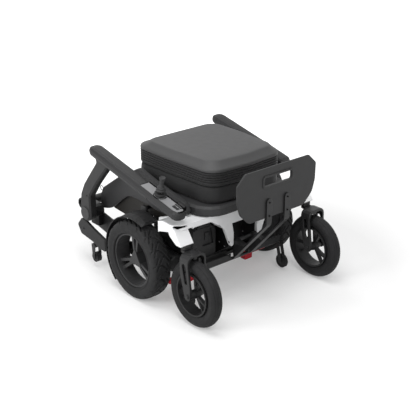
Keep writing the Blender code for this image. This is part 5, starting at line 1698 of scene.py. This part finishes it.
@dataclass(frozen=True)
class Fasteners:
    """Screws on the outer faces of the chair.

    Attributes:
        side: Side of the chair.
        bar: Distance of the screws on a footplate bar from the chair's middle.
        bar_heights: Heights of those screws.
        SIDEWAYS: Screws that face sideways.
    """

    side: Side
    bar: float = 0.0445
    bar_heights: Pair = (0.4264, 0.3763)

    SIDEWAYS: ClassVar[tuple[Screws, ...]] = (
        Screws("post_screw", "armrest_post_{side}", ((0.318, 0.3082),), OUTSIDE, True, 0.0035, 0.0016,
               COAT),
        Screws("arm_screw", "rear_arm_{side}", ((0.3679, 0.1511),), OUTSIDE, True, 0.0045, 0.0018, COAT),
        Screws("cheek_screws", "footrest_bracket", ((-0.170, 0.206), (-0.1978, 0.1974)), 0.2, True, 0.0032,
               0.0016, STEEL),
        Screws("inner_screws", "footrest_bracket", ((-0.1560, 0.2056), (-0.1932, 0.2056)), 0.02, False,
               0.0030, 0.0014, STEEL),
        Screws("lug_pin", "front_frame", ((-0.235, 0.2307),), 0.2, True, 0.0040, 0.0012, COAT))

    def dress(self, screws: ScrewGraph) -> None:
        """Build the screws.

        Args:
            screws: Group for screws.
        """
        word, hand = self.side.word, self.side.value
        for row in self.SIDEWAYS:
            node = row.node.format(side=word)
            facing = (-hand if row.inward else hand, 0.0, 0.0)
            spots = [touch(node, (hand * row.start, y, z), facing) for y, z in row.spots]
            screws.scatter(f"{row.name}_{word}", spots, row.radius, row.height, row.finish, body_of(node))
        bars = [touch("footplate_bars", (hand * self.bar, -OUTSIDE, z), REARWARD) for z in self.bar_heights]
        screws.scatter("bar_screws_" + word, bars, radius=0.0030, height=0.0012, finish=BLACK_AND_GAP_SHADE,
                       body=body_of("footplate_bars"))


@dataclass(frozen=True)
class Dresser:
    """Gives every CAD node that stays its procedural finish."""

    def dress(self) -> None:
        """Assign the finishes by the record's slots."""
        slots = {row["node"]: row["material_slot"] for row in frame["record"]["subparts"]}
        for name, item in frame["nodes"].items():
            finish = OWN_FINISHES.get(name, FINISHES[slots[name]])
            for slot in item.material_slots:
                slot.material = finish.material()
        log.info("finishes on %d nodes", len(slots))


@dataclass(frozen=True)
class Camera:
    """Camera that was fitted to the photograph.

    Attributes:
        azimuth: Degrees round the chair.
        elevation: Degrees above the horizon.
        distance: Distance to the target in metres.
        target: Point that it looks at.
        focal: Focal length in millimetres.
        sensor: Width of the sensor in millimetres.
        sight: How far it sees in metres.
    """

    azimuth: float = -41.1585
    elevation: float = 22.5795
    distance: float = 3.5297
    target: Triple = (0.0, -0.025, 0.2763)
    focal: float = 79.53
    sensor: float = 36.0
    sight: float = 60.0

    def build(self) -> None:
        """Make the camera and use it for the scene."""
        data = bpy.data.cameras.new("camera")
        data.lens = self.focal
        data.sensor_width = self.sensor
        data.clip_end = self.sight
        around, up = math.radians(self.azimuth), math.radians(self.elevation)
        back = Vector((math.sin(around) * math.cos(up), -math.cos(around) * math.cos(up), math.sin(up)))
        spot = Vector(self.target) + back * self.distance
        bpy.context.scene.camera = set_up("camera", data, spot, self.target)
        log.info("camera: %.1f mm at %.2f m", self.focal, self.distance)


@dataclass(frozen=True)
class Lamp:
    """One soft area light.

    Attributes:
        name: Name of the light.
        spot: Where it stands.
        aim: Point that it faces.
        size: Edge length in metres.
        power: Watts.
    """

    name: str
    spot: Triple
    aim: Triple
    size: float
    power: float

    def build(self) -> None:
        """Make the light."""
        data = bpy.data.lights.new(self.name, "AREA")
        data.shape = "SQUARE"
        data.size = self.size
        data.energy = self.power
        set_up(self.name, data, self.spot, self.aim)


@dataclass(frozen=True)
class Studio:
    """Pale floor, white surroundings and soft lights.

    Attributes:
        sky: Strength of the surroundings' light.
        floor: Linear grey of the floor.
        lift: White that the floor shows of itself near the chair.
        far_lift: White that it shows of itself far from the chair.
        near: Distance from the chair where the floor starts to turn plain white.
        far: Distance where it is plain white.
        reach: Half of the floor's edge length.
        drop: How far the floor lies under the wheels.
        LAMPS: The lights.
    """

    sky: float = 0.43
    floor: float = 0.72
    lift: float = 0.25
    far_lift: float = 1.0
    near: float = 0.75
    far: float = 1.9
    reach: float = 14.0
    drop: float = 0.0005

    LAMPS: ClassVar[tuple[Lamp, ...]] = (
        Lamp("top", (-0.6, -0.2, 3.2), (0.0, 0.0, 0.3), 1.8, 46.0),
        Lamp("left", (-3.0, 0.1, 1.6), (0.0, 0.0, 0.3), 1.4, 50.0),
        Lamp("front", (-1.0, -2.6, 2.6), (0.0, 0.0, 0.25), 1.2, 22.0),
        Lamp("back", (1.0, 2.8, 2.9), (0.0, 0.0, 0.4), 1.4, 16.0))

    def build(self) -> None:
        """Make the floor, the surroundings and the lights."""
        self.lay_floor()
        self.light_sky()
        for lamp in self.LAMPS:
            lamp.build()
        log.info("studio: %d lamps", len(self.LAMPS))

    @staticmethod
    def seen(graph: Graph) -> Socket:
        """Return a socket that is 1 for what the camera sees, also in gloss and through glass.

        Args:
            graph: Nodes of the material or the surroundings.

        Returns:
            The socket.
        """
        path = graph.add("ShaderNodeLightPath").outputs
        direct = graph.number("MAXIMUM", path["Is Camera Ray"], path["Is Glossy Ray"])
        return graph.number("MAXIMUM", direct, path["Is Transmission Ray"])

    def lay_floor(self) -> None:
        """Make the floor."""
        bm = bmesh.new()
        bmesh.ops.create_grid(bm, x_segments=1, y_segments=1, size=self.reach)
        bmesh.ops.translate(bm, verts=bm.verts, vec=(0.0, 0.0, -self.drop))
        mesh = bpy.data.meshes.new("floor")
        bm.to_mesh(mesh)
        bm.free()
        graph = ShaderGraph("floor")
        away = graph.add("ShaderNodeVectorMath", {"operation": "LENGTH"}, Vector=graph.coords)
        lift = graph.between(away.outputs["Value"], self.near, self.far, self.lift, self.far_lift)
        grey = graph.blend(graph.noise(scale=0.4), (self.floor,) * 3, (self.floor * 1.02,) * 3)
        graph.fill(graph.shader, Roughness=0.9, Specular_IOR_Level=0.1, Emission_Color=PURE_WHITE,
                   Base_Color=grey, Emission_Strength=graph.number("MULTIPLY", self.seen(graph), lift))
        mesh.materials.append(graph.material)
        place("floor", mesh)

    def light_sky(self) -> None:
        """Make surroundings that light the chair softly and show as plain white."""
        world = bpy.data.worlds.new("surroundings")
        bpy.context.scene.world = world
        world.use_nodes = True
        graph = Graph(world.node_tree)
        light = graph.tree.nodes["Background"]
        graph.fill(light, Color=PURE_WHITE, Strength=self.sky)
        white = graph.add("ShaderNodeBackground", Color=PURE_WHITE, Strength=1.0)
        mix = graph.add("ShaderNodeMixShader")
        for socket, source in zip(mix.inputs, (self.seen(graph), light.outputs[0], white.outputs[0])):
            graph.feed(socket, source)
        graph.fill(graph.tree.nodes["World Output"], Surface=mix.outputs[0])


def main() -> None:
    """Build the scene in order and report each piece."""
    logging.basicConfig(level=logging.INFO, format="%(message)s", stream=sys.stdout)
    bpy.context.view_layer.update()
    bpy.context.scene.view_settings.view_transform = "Standard"
    Camera().build()
    Studio().build()
    Dresser().dress()
    Seat().dress()
    Backrest().dress()
    screws, sweep = ScrewGraph(), SweepGraph()
    for side in Side:
        DriveTyre(side).dress()
        CasterTyre(side).dress()
        Port(side).dress()
        WingRim(side).dress(sweep)
        RimRing(side).dress(sweep)
        Fasteners(side).dress(screws)
        SlotInlay(side).dress()
    ReleaseRing().dress(sweep)
    ControlEnd().dress(sweep, screws)


if __name__ == "__main__":
    main()
